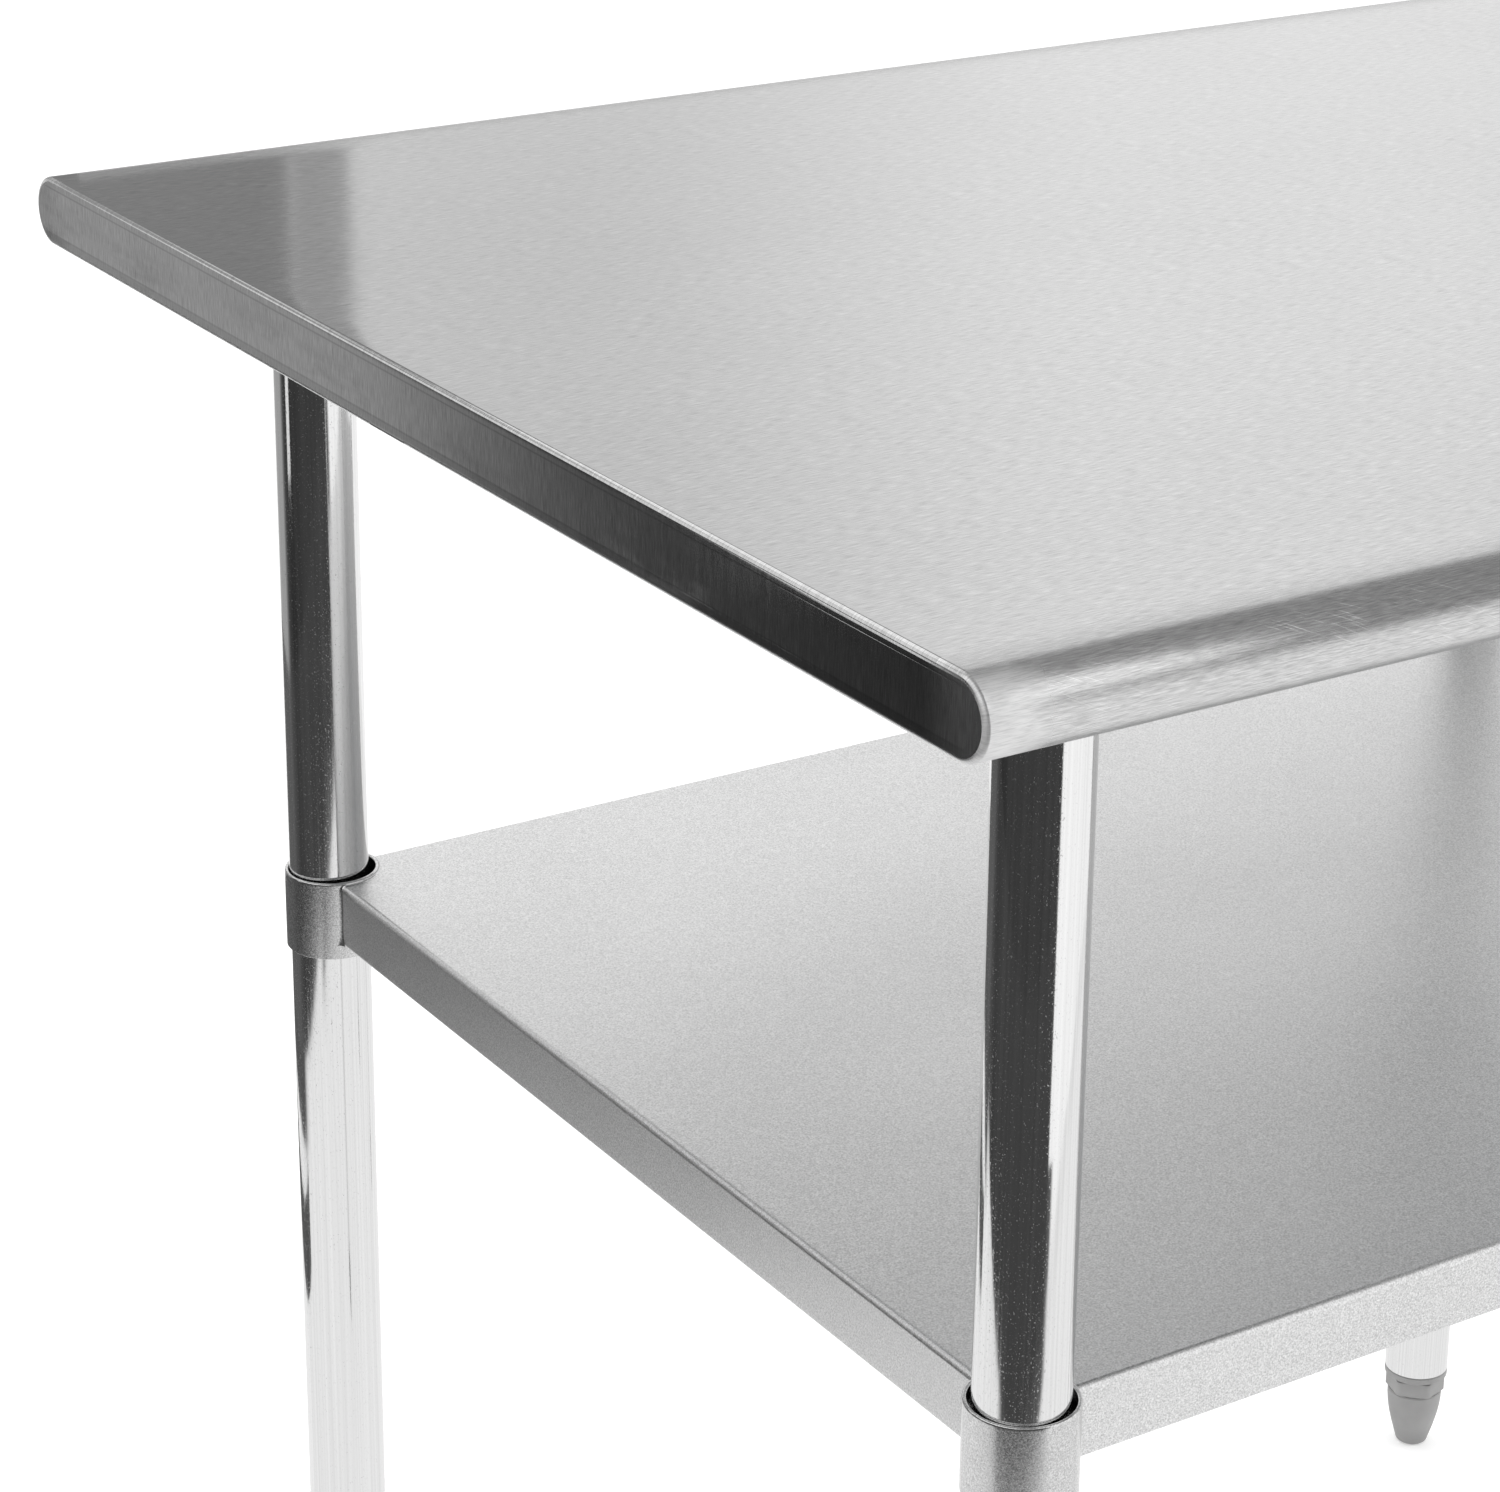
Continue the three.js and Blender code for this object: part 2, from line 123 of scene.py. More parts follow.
FOOT_TIP_RADIUS = 10 * MM
FOOT_TIP_ROUND = 3 * MM
FOOT_SHOULDER_RADIUS = 16.5 * MM
FOOT_SHOULDER_Z = 37 * MM
FOOT_HEX = 32 * MM
FOOT_TOP = 48 * MM
FOOT_BORE_BOTTOM = 12 * MM

SIDES = 96  # faces round a piece that is seen close
BORE_SIDES = 32
NUT_SIDES = 48
THREAD_STEPS = 6  # rings for each turn of a thread
SMALL_SIDES = 24
SHARP_ANGLE = math.radians(35)  # an edge that turns more than this is shaded sharp
CORNERS = {
    "front_left": (-1, -1),
    "front_right": (1, -1),
    "back_left": (-1, 1),
    "back_right": (1, 1),
}


def centre_of(node):
    low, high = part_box(node)
    return (low + high) / 2


def inward(corner, node):
    """A frame on the axis of an upright round node, with +X to the middle of the table."""
    side_x, side_y = CORNERS[corner]
    centre = centre_of(node)
    turn = Matrix.Rotation(math.atan2(-side_y, -side_x), 4, "Z")
    return Matrix.Translation((centre.x, centre.y, 0)) @ turn


# ---------------------------------------------------------------- mesh tools
class Shape:
    """Collects the points, faces and grain map of one piece."""

    def __init__(self):
        self.points = []
        self.faces = []
        self.grain = []

    def grid(self, rows, wrap=False, keep=None, grain=None):
        """Joins rows of equal length by quads. Unless grain says otherwise, it runs from row to row."""
        start = len(self.points)
        columns = len(rows[0])
        rows = [[Vector(point) for point in row] for row in rows]
        self.points += [point for row in rows for point in row]
        middle = columns // 2
        along = [0.0]
        for before, after in zip(rows, rows[1:]):
            along.append(along[-1] + (after[middle] - before[middle]).length)
        widest = max(rows, key=lambda row: sum((a - b).length for a, b in zip(row, row[1:])))
        across = [0.0]
        for j in range(columns):
            across.append(across[-1] + (widest[(j + 1) % columns] - widest[j]).length)
        for i in range(len(rows) - 1):
            for j in range(columns if wrap else columns - 1):
                if keep and not keep(i, j):
                    continue
                places = [(i, j), (i, j + 1), (i + 1, j + 1), (i + 1, j)]
                self.faces.append([start + a * columns + b % columns for a, b in places])
                if grain:
                    self.grain.append([grain(i, rows[a][b % columns]) for a, b in places])
                else:
                    self.grain.append([(along[a], across[b]) for a, b in places])

    def face(self, points):
        start = len(self.points)
        self.points += [Vector(point) for point in points]
        self.faces.append(list(range(start, start + len(points))))
        self.grain.append([(point[0], point[1]) for point in points])

    def tube(self, rows):
        """A closed body through the rings in rows, with a flat face over each end."""
        self.grid(rows, wrap=True)
        self.face(rows[0])
        self.face(rows[-1])

    def build(self, name, matrix=None):
        mesh = bpy.data.meshes.new(name)
        mesh.from_pydata([tuple(point) for point in self.points], [], self.faces)
        layer = mesh.uv_layers.new(name="Grain")
        layer.data.foreach_set("uv", [value for face in self.grain for pair in face for value in pair])
        if matrix:
            mesh.transform(matrix)
        tidy_mesh(mesh)
        piece = bpy.data.objects.new(name, mesh)
        bpy.context.scene.collection.objects.link(piece)
        return piece


def solid(name, rows, matrix=None):
    """A closed piece through the rings in rows, with a flat face over each end."""
    shape = Shape()
    shape.tube(rows)
    return shape.build(name, matrix)


def hollow(name, rows, matrix=None):
    """A closed piece whose rows of points come round to the first."""
    shape = Shape()
    shape.grid(rows + rows[:1], wrap=True)
    return shape.build(name, matrix)


def tidy_mesh(mesh):
    """Joins points that meet, drops empty faces and points the faces outwards."""
    work = bmesh.new()
    work.from_mesh(mesh)
    bmesh.ops.remove_doubles(work, verts=work.verts, dist=1e-6)
    bmesh.ops.dissolve_degenerate(work, dist=1e-7, edges=work.edges)
    bmesh.ops.recalc_face_normals(work, faces=work.faces)
    work.to_mesh(mesh)
    work.free()


def circle(radius, z, sides=SIDES, outline=None):
    """A ring of points round Z, kept inside the outline where one is given."""
    ring = []
    for k in range(sides):
        angle = 2 * math.pi * k / sides
        reach = min(radius, outline(angle)) if outline else radius
        ring.append((reach * math.cos(angle), reach * math.sin(angle), z))
    return ring


def circles(profile, sides=SIDES, outline=None):
    return [circle(radius, z, sides, outline) for radius, z in profile]


def hexagon(flats):
    """The outline of a hexagon, as the reach at an angle."""
    sixth = math.pi / 3

    def reach(angle):
        return flats / 2 / math.cos((angle + sixth / 2) % sixth - sixth / 2)
    return reach


def arc(centre, radius, start, end, steps):
    """Pairs on an arc round centre, from start to end in degrees."""
    pairs = []
    for k in range(steps + 1):
        angle = math.radians(start + (end - start) * k / steps)
        pairs.append((centre[0] + radius * math.cos(angle), centre[1] + radius * math.sin(angle)))
    return pairs


def thread(radius, pitch, low, high):
    """Rings of a right-hand V thread round Z that runs out at both ends."""
    depth = 0.6 * pitch
    count = math.ceil((high - low) / pitch * THREAD_STEPS)
    rings = []
    for i in range(count + 1):
        z = low + (high - low) * i / count
        full = min(1.0, (z - low) / pitch, (high - z) / pitch)
        ring = []
        for k in range(SMALL_SIDES):
            phase = (z / pitch - k / SMALL_SIDES) % 1.0
            cut = full * (1 - abs(2 * phase - 1)) + (1 - full)
            reach = radius - depth * cut
            angle = 2 * math.pi * k / SMALL_SIDES
            ring.append((reach * math.cos(angle), reach * math.sin(angle), z))
        rings.append(ring)
    return rings


def along_x(matrix, distance, z):
    """Lays a piece made round Z along +X of matrix, from distance outwards."""
    return matrix @ Matrix.Translation((distance, 0, z)) @ Matrix.Rotation(math.pi / 2, 4, "Y")


def cut_or_join(piece, tool, operation):
    """Cuts the tool out of the piece, or joins it on, and removes the tool."""
    change = piece.modifiers.new("change", "BOOLEAN")
    change.operation = operation
    change.solver = "EXACT"
    change.object = tool
    bake(piece)
    bpy.data.objects.remove(tool)


def bake(piece):
    """Turns the piece's modifiers into plain mesh."""
    bpy.context.view_layer.update()
    seen = piece.evaluated_get(bpy.context.evaluated_depsgraph_get())
    mesh = bpy.data.meshes.new_from_object(seen)
    piece.modifiers.clear()
    piece.data = mesh


def thicken(piece, thickness):
    """Gives a surface its sheet thickness, inwards."""
    sheet = piece.modifiers.new("sheet", "SOLIDIFY")
    sheet.thickness = thickness
    sheet.offset = -1
    sheet.use_even_offset = True
    bake(piece)


def finish(piece, body, material, nodes=()):
    """Gives a piece its material, shading and body, and hides the CAD nodes it stands for."""
    piece.data.materials.clear()
    piece.data.materials.append(material)
    piece.data.shade_smooth()
    piece.data.set_sharp_from_angle(angle=SHARP_ANGLE)
    normals = piece.modifiers.new("normals", "WEIGHTED_NORMAL")
    normals.keep_sharp = True
    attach(piece, body)
    if nodes:
        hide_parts(*nodes)


# ---------------------------------------------------------------- table top
ROLL_MIDDLE = TOP_Z - ROLL_RADIUS
FLAT_REACH = HALF_DEPTH - ROLL_RADIUS
LIP_REACH = FLAT_REACH - ROLL_LIP
EDGE_HEIGHT = 2 * ROLL_RADIUS
END_BAND = 4.5 * MM  # groove below the top edge of an end face
END_BAND_REACH = 0.35 * MM  # from the bottom of the groove to its edge
HEM_BAND = 5.7 * MM  # fold line above the bottom edge of an end face
HEM_BAND_REACH = 0.55 * MM
GROOVE_DEPTH = 0.015 * MM
GROOVES = {"top": (END_BAND, END_BAND_REACH), "hem": (HEM_BAND, HEM_BAND_REACH)}


def end_depth(inset, edge):
    """How far an end face lies inside the end plane, at a distance inside its outline."""
    if inset < END_ROUND:
        return END_ROUND - math.sqrt(END_ROUND ** 2 - (END_ROUND - inset) ** 2)
    if edge not in GROOVES:
        return 0
    lowest, reach = GROOVES[edge]
    return GROOVE_DEPTH * max(0.0, 1 - abs(inset - lowest) / reach)


def top_ring(x, inset, depth=None):
    """The section of the top, drawn in by inset. depth(edge) moves it in from x."""
    radius = ROLL_RADIUS - inset
    stations = [LIP_REACH * k / 6 for k in range(-6, 7)] + [FLAT_REACH - 1 * MM]
    stations.insert(0, -stations[-1])
    upper = [(y, ROLL_MIDDLE + radius, "top") for y in stations]
    back = arc((FLAT_REACH, ROLL_MIDDLE), radius, 90, -90, ROLL_STEPS)
    lower = [(y, ROLL_MIDDLE - radius, "hem") for y in reversed(stations)]
    front = arc((-FLAT_REACH, ROLL_MIDDLE), radius, 270, 90, ROLL_STEPS)
    outline = upper + [(y, z, "roll") for y, z in back] + lower + [(y, z, "roll") for y, z in front]
    ring = []
    for y, z, edge in outline:
        drawn_in = math.copysign(depth(edge), x) if depth else 0
        ring.append((x - drawn_in, y, z))
    return ring


def build_table_top():
    insets = [END_ROUND * (1 - math.cos(math.radians(angle))) for angle in range(15, 91, 15)]
    insets += [3 * MM]
    for groove in (END_BAND, HEM_BAND):
        insets += [groove - HEM_BAND_REACH, groove - END_BAND_REACH, groove]
        insets += [groove + END_BAND_REACH, groove + HEM_BAND_REACH]
    insets = sorted(insets) + [8 * MM, 11 * MM, ROLL_RADIUS]
    rows = [top_ring(-HALF_LENGTH, inset, lambda edge, t=inset: end_depth(t, edge))
            for inset in reversed(insets)]
    first_side = len(rows)
    open_from = HALF_LENGTH - TOP_SHEET - END_LIP
    sides = [HALF_LENGTH - END_ROUND, open_from] + [open_from * k / 8 for k in range(7, 0, -1)]
    stations = [-x for x in sides] + [0] + sides[::-1]
    rows += [top_ring(x, 0) for x in stations]
    last_side = len(rows) - 1
    rows += [top_ring(HALF_LENGTH, inset, lambda edge, t=inset: end_depth(t, edge))
             for inset in insets]

    def in_mouth(i, j):
        before, after = rows[i][j], rows[i][(j + 1) % len(rows[i])]
        inner_x = first_side + 1 <= i < last_side - 1
        low = max(before[2], after[2]) < ROLL_MIDDLE
        return inner_x and low and max(abs(before[1]), abs(after[1])) < LIP_REACH + 1e-6

    def grain(i, point):
        x, y, z = point
        if i < first_side - 6 or i >= last_side + 6:
            return math.copysign(HALF_LENGTH + TOP_Z - z, x), y
        side = 1 if y > 0 else -1
        if abs(y) <= FLAT_REACH:
            if z > ROLL_MIDDLE:
                return x, y
            return x, side * (2 * FLAT_REACH + math.pi * ROLL_RADIUS - abs(y))
        turned = math.atan2(abs(y) - FLAT_REACH, z - ROLL_MIDDLE)
        return x, side * (FLAT_REACH + ROLL_RADIUS * turned)

    shape = Shape()
    shape.grid(rows, wrap=True, keep=lambda i, j: not in_mouth(i, j), grain=grain)
    top = shape.build("table_top_sheet")
    thicken(top, TOP_SHEET)
    finish(top, "frame", brushed_stainless(), ["table_top"])


def stud_places():
    """Each stud nut's name, middle and box. The welded studs stand in the middles."""
    return [(n, centre_of(n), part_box(n)) for n in sorted(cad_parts) if n.startswith("channel_nut")]


def build_studs_and_nuts():
    studs = Shape()
    stud_top = TOP_Z - TOP_SHEET - 0.05 * MM
    zinc = bright_zinc()
    for name, centre, (low, high) in stud_places():
        rows = thread(STUD_RADIUS, STUD_PITCH, stud_top - STUD_LENGTH, stud_top)
        rows[-1] = circle(STUD_RADIUS + 0.8 * MM, stud_top, SMALL_SIDES)  # weld flash
        studs.tube([[(x + centre.x, y + centre.y, z) for x, y, z in row] for row in rows])
        flats = high.y - low.y
        nut = hex_nut(name + "_body", flats, high.z - low.z, STUD_RADIUS + GAP / 2)
        nut.data.transform(Matrix.Translation((centre.x, centre.y, low.z)))
        finish(nut, "frame", zinc, [name])
    finish(studs.build("top_studs"), "frame", zinc)


def hex_nut(name, flats, height, bore):
    """A chamfered nut round Z, from z = 0 up."""
    corner = flats / math.sqrt(3)
    face = flats / 2 * 0.95
    drop = 0.08 * flats
    outside = circles(
        [(face, 0), (flats / 2, drop / 3), (corner, drop), (corner, height - drop),
         (flats / 2, height - drop / 3), (face, height)],
        sides=NUT_SIDES, outline=hexagon(flats))
    inside = circles(
        [(bore + 0.5 * MM, height), (bore, height - 0.5 * MM), (bore, 0.5 * MM), (bore + 0.5 * MM, 0)],
        sides=NUT_SIDES)
    return hollow(name, outside + inside)


# ---------------------------------------------------------------- channels
def hat_profile(width, crown, depth, sheet, bend):
    """The outer surface of a hat section that hangs from z = 0, as (across, z)."""
    half, flange = crown / 2, width / 2
    inner = bend - sheet
    right = arc((half - bend, bend - depth), bend, 270, 360, 6)
    right += arc((half + inner, -sheet - inner), inner, 180, 90, 6)
    right.append((flange, -sheet))
    return [(-a, z) for a, z in reversed(right)] + right


def build_channel(name, width, crown, sheet, along_y, material, body, holes=()):
    """A folded channel in place of the CAD one, with stud holes."""
    low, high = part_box(name)
    centre = (low + high) / 2
    half = (high.y - low.y) / 2 if along_y else (high.x - low.x) / 2
    depth = high.z - low.z
    profile = hat_profile(width, crown, depth, sheet, CHANNEL_BEND)
    shape = Shape()
    shape.grid([[(x, a, z) for a, z in profile] for x in [half * k / 6 for k in range(-6, 7)]])
    turn = math.pi / 2 if along_y else 0
    place = Matrix.Translation((centre.x, centre.y, high.z)) @ Matrix.Rotation(turn, 4, "Z")
    channel = shape.build(name + "_sheet", place)
    face_down(channel)
    thicken(channel, sheet)
    if holes:
        drill = Shape()
        for hole in holes:
            ring = circle(STUD_RADIUS + 2 * GAP, 0, SMALL_SIDES)
            drill.tube([[(x + hole.x, y + hole.y, z + shift) for x, y, z in ring]
                        for shift in (high.z - 5 * MM, high.z + 1 * MM)])
        cut_or_join(channel, drill.build("drill"), "DIFFERENCE")
    finish(channel, body, material, [name])


def face_down(piece):
    """Points an open sheet's faces down, as its outer side."""
    work = bmesh.new()
    work.from_mesh(piece.data)
    work.faces.ensure_lookup_table()
    total = sum(face.normal.z * face.calc_area() for face in work.faces)
    if total > 0:
        bmesh.ops.reverse_faces(work, faces=work.faces)
    work.to_mesh(piece.data)
    work.free()


def build_channels():
    zinc = galvanised()
    holes = [centre for _, centre, _ in stud_places()]
    for name in ("cross_channel_left", "cross_channel_right", "centre_channel"):
        low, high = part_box(name)
        here = [h for h in holes if low.x < h.x < high.x and low.y < h.y < high.y]
        build_channel(name, CHANNEL_WIDTH, CHANNEL_CROWN, CHANNEL_SHEET,
                      name.startswith("cross"), zinc, "frame", here)
    build_channel("shelf_channel", SHELF_CHANNEL_WIDTH, SHELF_CHANNEL_CROWN, SHELF_SHEET,
                  False, zinc, "shelf")


# ---------------------------------------------------------------- legs and their sockets
def build_leg(corner, material):
    low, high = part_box(f"leg_{corner}")
    inner = LEG_RADIUS - LEG_WALL
    round_ = LEG_WALL / 3
    lower = arc((LEG_RADIUS - round_, low.z + round_), round_, 270, 360, 4)
    upper = arc((LEG_RADIUS - round_, high.z - round_), round_, 0, 90, 4)
    between = [(LEG_RADIUS, low.z + (high.z - low.z) * k / 12) for k in range(1, 12)]
    back = [(inner, between[k][1]) for k in range(10, -1, -1)]
    profile = lower + between + upper + [(inner, high.z)] + back + [(inner, low.z)]
    leg = hollow(f"leg_tube_{corner}", circles(profile), inward(corner, f"leg_{corner}"))
    finish(leg, "frame", material, [f"leg_{corner}"])


def rounded_square(half, radius, z, steps=8):
    ring = []
    for quarter in range(4):
        middle = math.radians(45 + 90 * quarter)
        centre = ((half - radius) * math.copysign(1, math.cos(middle)),
                  (half - radius) * math.copysign(1, math.sin(middle)))
        turn = 90 * quarter
        ring += [(x, y, z) for x, y in arc(centre, radius, turn, turn + 90, steps)]
    return ring


def cut_screw_hole(piece, length, matrix):
    hole = circles([(SCREW_RADIUS + GAP, 0), (SCREW_RADIUS + GAP, length)], BORE_SIDES)
    cut_or_join(piece, solid("screw_hole", hole, matrix), "DIFFERENCE")


def build_socket(corner, material):
    """The cast cup that the leg stands in: a plate, a sleeve and a boss for its set screw."""
    low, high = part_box(f"leg_socket_{corner}")
    round_ = 0.6 * MM
    half, turn_radius = SOCKET_HALF_WIDTH, SOCKET_CORNER_RADIUS
    bottom, ceiling = low.z, high.z - SOCKET_PLATE
    inner, outer, flare = SOCKET_INNER_RADIUS, SOCKET_OUTER_RADIUS, SOCKET_FLARE
    place = inward(corner, f"leg_{corner}")
    turned = place @ Matrix.Rotation(math.pi / 4, 4, "Z")
    slab = [
        rounded_square(half - round_, turn_radius - round_, ceiling),
        rounded_square(half, turn_radius, ceiling + round_),
        rounded_square(half, turn_radius, high.z - round_),
        rounded_square(half - round_, turn_radius - round_, high.z)]
    socket = solid(f"socket_{corner}", slab, turned)
    rim = arc((outer - round_, bottom + round_), round_, 270, 360, 4)
    foot = arc((outer + flare, ceiling - flare), flare, 180, 90, 6)
    sleeve = circles([(inner, bottom)] + rim + foot + [(outer + flare, ceiling + 1 * MM)])
    cut_or_join(socket, solid("sleeve", sleeve, place), "UNION")
    screw_z = centre_of(f"socket_screw_{corner}").z
    radius, reach = SOCKET_BOSS_RADIUS, SOCKET_BOSS_REACH
    boss = circles([(radius, 0), (radius, reach - round_), (radius - round_, reach)], NUT_SIDES)
    cut_or_join(socket, solid("boss", boss, along_x(place, 0, screw_z)), "UNION")
    bore = circles([(inner + round_, bottom - 1 * MM), (inner + round_, bottom),
                    (inner, bottom + round_), (inner, ceiling)])
    cut_or_join(socket, solid("bore", bore, place), "DIFFERENCE")
    cut_screw_hole(socket, reach + 1 * MM, along_x(place, 0, screw_z))
    finish(socket, "frame", material, [f"leg_socket_{corner}"])


def build_set_screw(name, node, body, place, distance, z, length, material):
    """A threaded set screw along +X, with a cup tip and a hexagon socket."""
    end = 0.3 * MM  # plain length at each end of the thread
    cup_radius, tip_radius, head_radius = 1.8 * MM, 2.4 * MM, 2.7 * MM
    rows = [circle(cup_radius, 0.5 * MM, SMALL_SIDES), circle(tip_radius, 0, SMALL_SIDES)]
    rows += thread(SCREW_RADIUS, SCREW_PITCH, end, length - end)
    rows.append(circle(head_radius, length, SMALL_SIDES))
    for flats, along in ((SCREW_HEX + 0.3 * MM, length), (SCREW_HEX, length - 0.2 * MM),
                         (SCREW_HEX, length - SCREW_HEX_DEPTH)):
        rows.append(circle(SCREW_RADIUS, along, SMALL_SIDES, hexagon(flats)))
    screw = solid(name, rows, along_x(place, distance, z))
    finish(screw, body, material, [node])


# ---------------------------------------------------------------- feet
def build_foot(corner, plastic, zinc):
    place = inward(corner, f"bullet_foot_{corner}")
    tip = arc((FOOT_TIP_RADIUS - FOOT_TIP_ROUND, FOOT_TIP_ROUND), FOOT_TIP_ROUND, 270, 360, 6)
    bulge = []
    spread = FOOT_SHOULDER_RADIUS - FOOT_TIP_RADIUS
    for k in range(1, 9):  # the side bows out a little between tip and shoulder
        share = k / 8
        radius = FOOT_TIP_RADIUS + spread * math.sin(share * math.pi / 2)
        bulge.append((radius, FOOT_TIP_ROUND + (FOOT_SHOULDER_Z - 0.8 * MM - FOOT_TIP_ROUND) * share))
    neck = [(FOOT_SHOULDER_RADIUS - 0.5 * MM, FOOT_SHOULDER_Z - 0.2 * MM),
            (FOOT_SHOULDER_RADIUS - 0.5 * MM, FOOT_SHOULDER_Z)]
    corner_radius = FOOT_HEX / math.sqrt(3) - 0.6 * MM
    head = [(FOOT_HEX / 2 - 0.5 * MM, FOOT_SHOULDER_Z), (corner_radius, FOOT_SHOULDER_Z + 0.8 * MM),
            (corner_radius, FOOT_TOP - 1.2 * MM), (FOOT_HEX / 2 - 0.3 * MM, FOOT_TOP)]
    bore = STEM_RADIUS + GAP
    rows = circles(tip + bulge + neck)
    rows += circles(head, outline=hexagon(FOOT_HEX))
    rows += circles([(bore + 0.6 * MM, FOOT_TOP), (bore, FOOT_TOP - 0.6 * MM), (bore, FOOT_BORE_BOTTOM)])
    foot = solid(f"foot_{corner}", rows, place)
    finish(foot, f"foot_{corner}", plastic, [f"bullet_foot_{corner}"])

    low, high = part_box(f"foot_stem_{corner}")
    stem = solid(f"stem_{corner}", thread(STEM_RADIUS, STEM_PITCH, low.z, high.z), place)
    finish(stem, f"foot_stem_{corner}", zinc, [f"foot_stem_{corner}"])

    low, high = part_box(f"foot_insert_{corner}")
    flange, plug, rib = 4 * MM, LEG_RADIUS - LEG_WALL - GAP, 0.5 * MM
    shoulder = low.z + flange
    outside = arc((LEG_RADIUS - rib, low.z + rib), rib, 270, 360, 4)
    outside += [(LEG_RADIUS, shoulder - rib), (LEG_RADIUS - rib, shoulder), (plug - rib, shoulder)]
    for k in range(5):  # barbs that grip the tube
        base = shoulder + (1.5 + 5 * k) * MM
        outside += [(plug - rib, base), (plug, base + 0.4 * MM), (plug - rib, base + 3.5 * MM)]
    outside += [(plug - 1 * MM, high.z - 2 * MM), (plug - 3 * MM, high.z)]
    rows = circles(outside + [(bore, high.z), (bore, low.z)])
    insert = hollow(f"insert_{corner}", rows, place)
    finish(insert, "frame", plastic, [f"foot_insert_{corner}"])


# ---------------------------------------------------------------- undershelf
SHELF_X = SHELF_HIGH.x
SHELF_Y = SHELF_HIGH.y
SHELF_Z = SHELF_HIGH.z
SKIRT_BOTTOM = SHELF_LOW.z
NOTCH_RADIUS = COLLAR_RADIUS + GAP
COLLAR = centre_of("shelf_collar_back_right")  # the others mirror it


def notch_reach(y, centre_x, centre_y):
    """Where a line at a distance y from the middle meets the corner notch."""
    return centre_x - math.sqrt(NOTCH_RADIUS ** 2 - (centre_y - y) ** 2)


def skirt_profile():
    """The fold from the flat to the hem, as (distance outside the flat, drop)."""
    depth = SHELF_Z - SKIRT_BOTTOM
    profile = [(x, SHELF_BEND - z) for x, z in arc((0, 0), SHELF_BEND, 90, 0, 6)]
    lower = arc((SHELF_BEND - SKIRT_BEND, SKIRT_BEND - depth), SKIRT_BEND, 0, -90, 5)
    profile += [(x, -z) for x, z in lower]
    profile.append((SHELF_BEND - SHELF_SHEET - SHELF_HEM, depth))
    return profile


def shelf_side(shape, side, centre_along, centre_across, place):
    """One folded side. place(along, across, z) puts it at the front, back, left or right."""
    columns = 24
    flat = side - SHELF_BEND
    rows = []
    for k in range(columns + 1):
        row = []
        for out, drop in skirt_profile():
            across = flat + out
            reach = notch_reach(across, centre_along, centre_across)
            row.append(place(reach * (2 * k / columns - 1), across, SHELF_Z - drop))
        rows.append(row)
    shape.grid(rows)
    return [row[0] for row in rows]


def build_undershelf(material):
    shape = Shape()
    front = shelf_side(shape, SHELF_Y, COLLAR.x, COLLAR.y, lambda a, b, z: (a, -b, z))
    back = shelf_side(shape, SHELF_Y, COLLAR.x, COLLAR.y, lambda a, b, z: (-a, b, z))
    left = shelf_side(shape, SHELF_X, COLLAR.y, COLLAR.x, lambda a, b, z: (-b, -a, z))
    right = shelf_side(shape, SHELF_X, COLLAR.y, COLLAR.x, lambda a, b, z: (b, a, z))

    def notch(before, after, side_x, side_y):
        """The notch's points between two sides, without its ends."""
        centre = Vector((side_x * COLLAR.x, side_y * COLLAR.y, SHELF_Z))
        start = Vector(before) - centre
        end = Vector(after) - centre
        first = math.atan2(start.y, start.x)
        turn = (math.atan2(end.y, end.x) - first + math.pi) % (2 * math.pi) - math.pi
        steps = 28
        points = []
        for k in range(1, steps):
            angle = first + turn * k / steps
            points.append((centre.x + NOTCH_RADIUS * math.cos(angle),
                           centre.y + NOTCH_RADIUS * math.sin(angle), SHELF_Z))
        return points

    rim = front + notch(front[-1], right[0], 1, -1) + right
    rim += notch(right[-1], back[0], 1, 1) + back
    rim += notch(back[-1], left[0], -1, 1) + left
    rim += notch(left[-1], front[0], -1, -1)
    shape.face(rim)
    shelf = shape.build("undershelf_sheet")
    work = bmesh.new()
    work.from_mesh(shelf.data)
    flat = max(work.faces, key=lambda face: face.calc_area())
    if flat.normal.z < 0:
        bmesh.ops.reverse_faces(work, faces=work.faces)
    work.to_mesh(shelf.data)
    work.free()
    thicken(shelf, SHELF_SHEET)
    finish(shelf, "shelf", material, ["undershelf"])


# ---------------------------------------------------------------- collars and their welds
def build_collar(corner, material):
    low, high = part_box(f"shelf_collar_{corner}")
    place = inward(corner, f"shelf_collar_{corner}")
    inner = COLLAR_RADIUS - COLLAR_WALL
    lip, edge = 0.88 * MM, 0.3 * MM  # roundings of the rim and of the lower edges
    below_lip = high.z - 1.6 * MM
    outside = [(COLLAR_RADIUS - edge, low.z), (COLLAR_RADIUS, low.z + edge)]
    outside += [(COLLAR_RADIUS, high.z - 6 * MM), (COLLAR_RADIUS, below_lip)]
    outside += arc((COLLAR_RADIUS - lip, high.z - lip), lip, 0, 90, 6)
    inside = arc((inner + lip, high.z - lip), lip, 90, 180, 6)
    inside += [(inner, below_lip), (inner, low.z + edge), (inner + edge, low.z)]
    collar = hollow(f"collar_{corner}", circles(outside + inside), place)
    screw_z = centre_of(f"collar_nut_{corner}").z
    cut_screw_hole(collar, COLLAR_RADIUS + 2 * MM, along_x(place, 0, screw_z))
    finish(collar, "shelf", material, [f"shelf_collar_{corner}"])


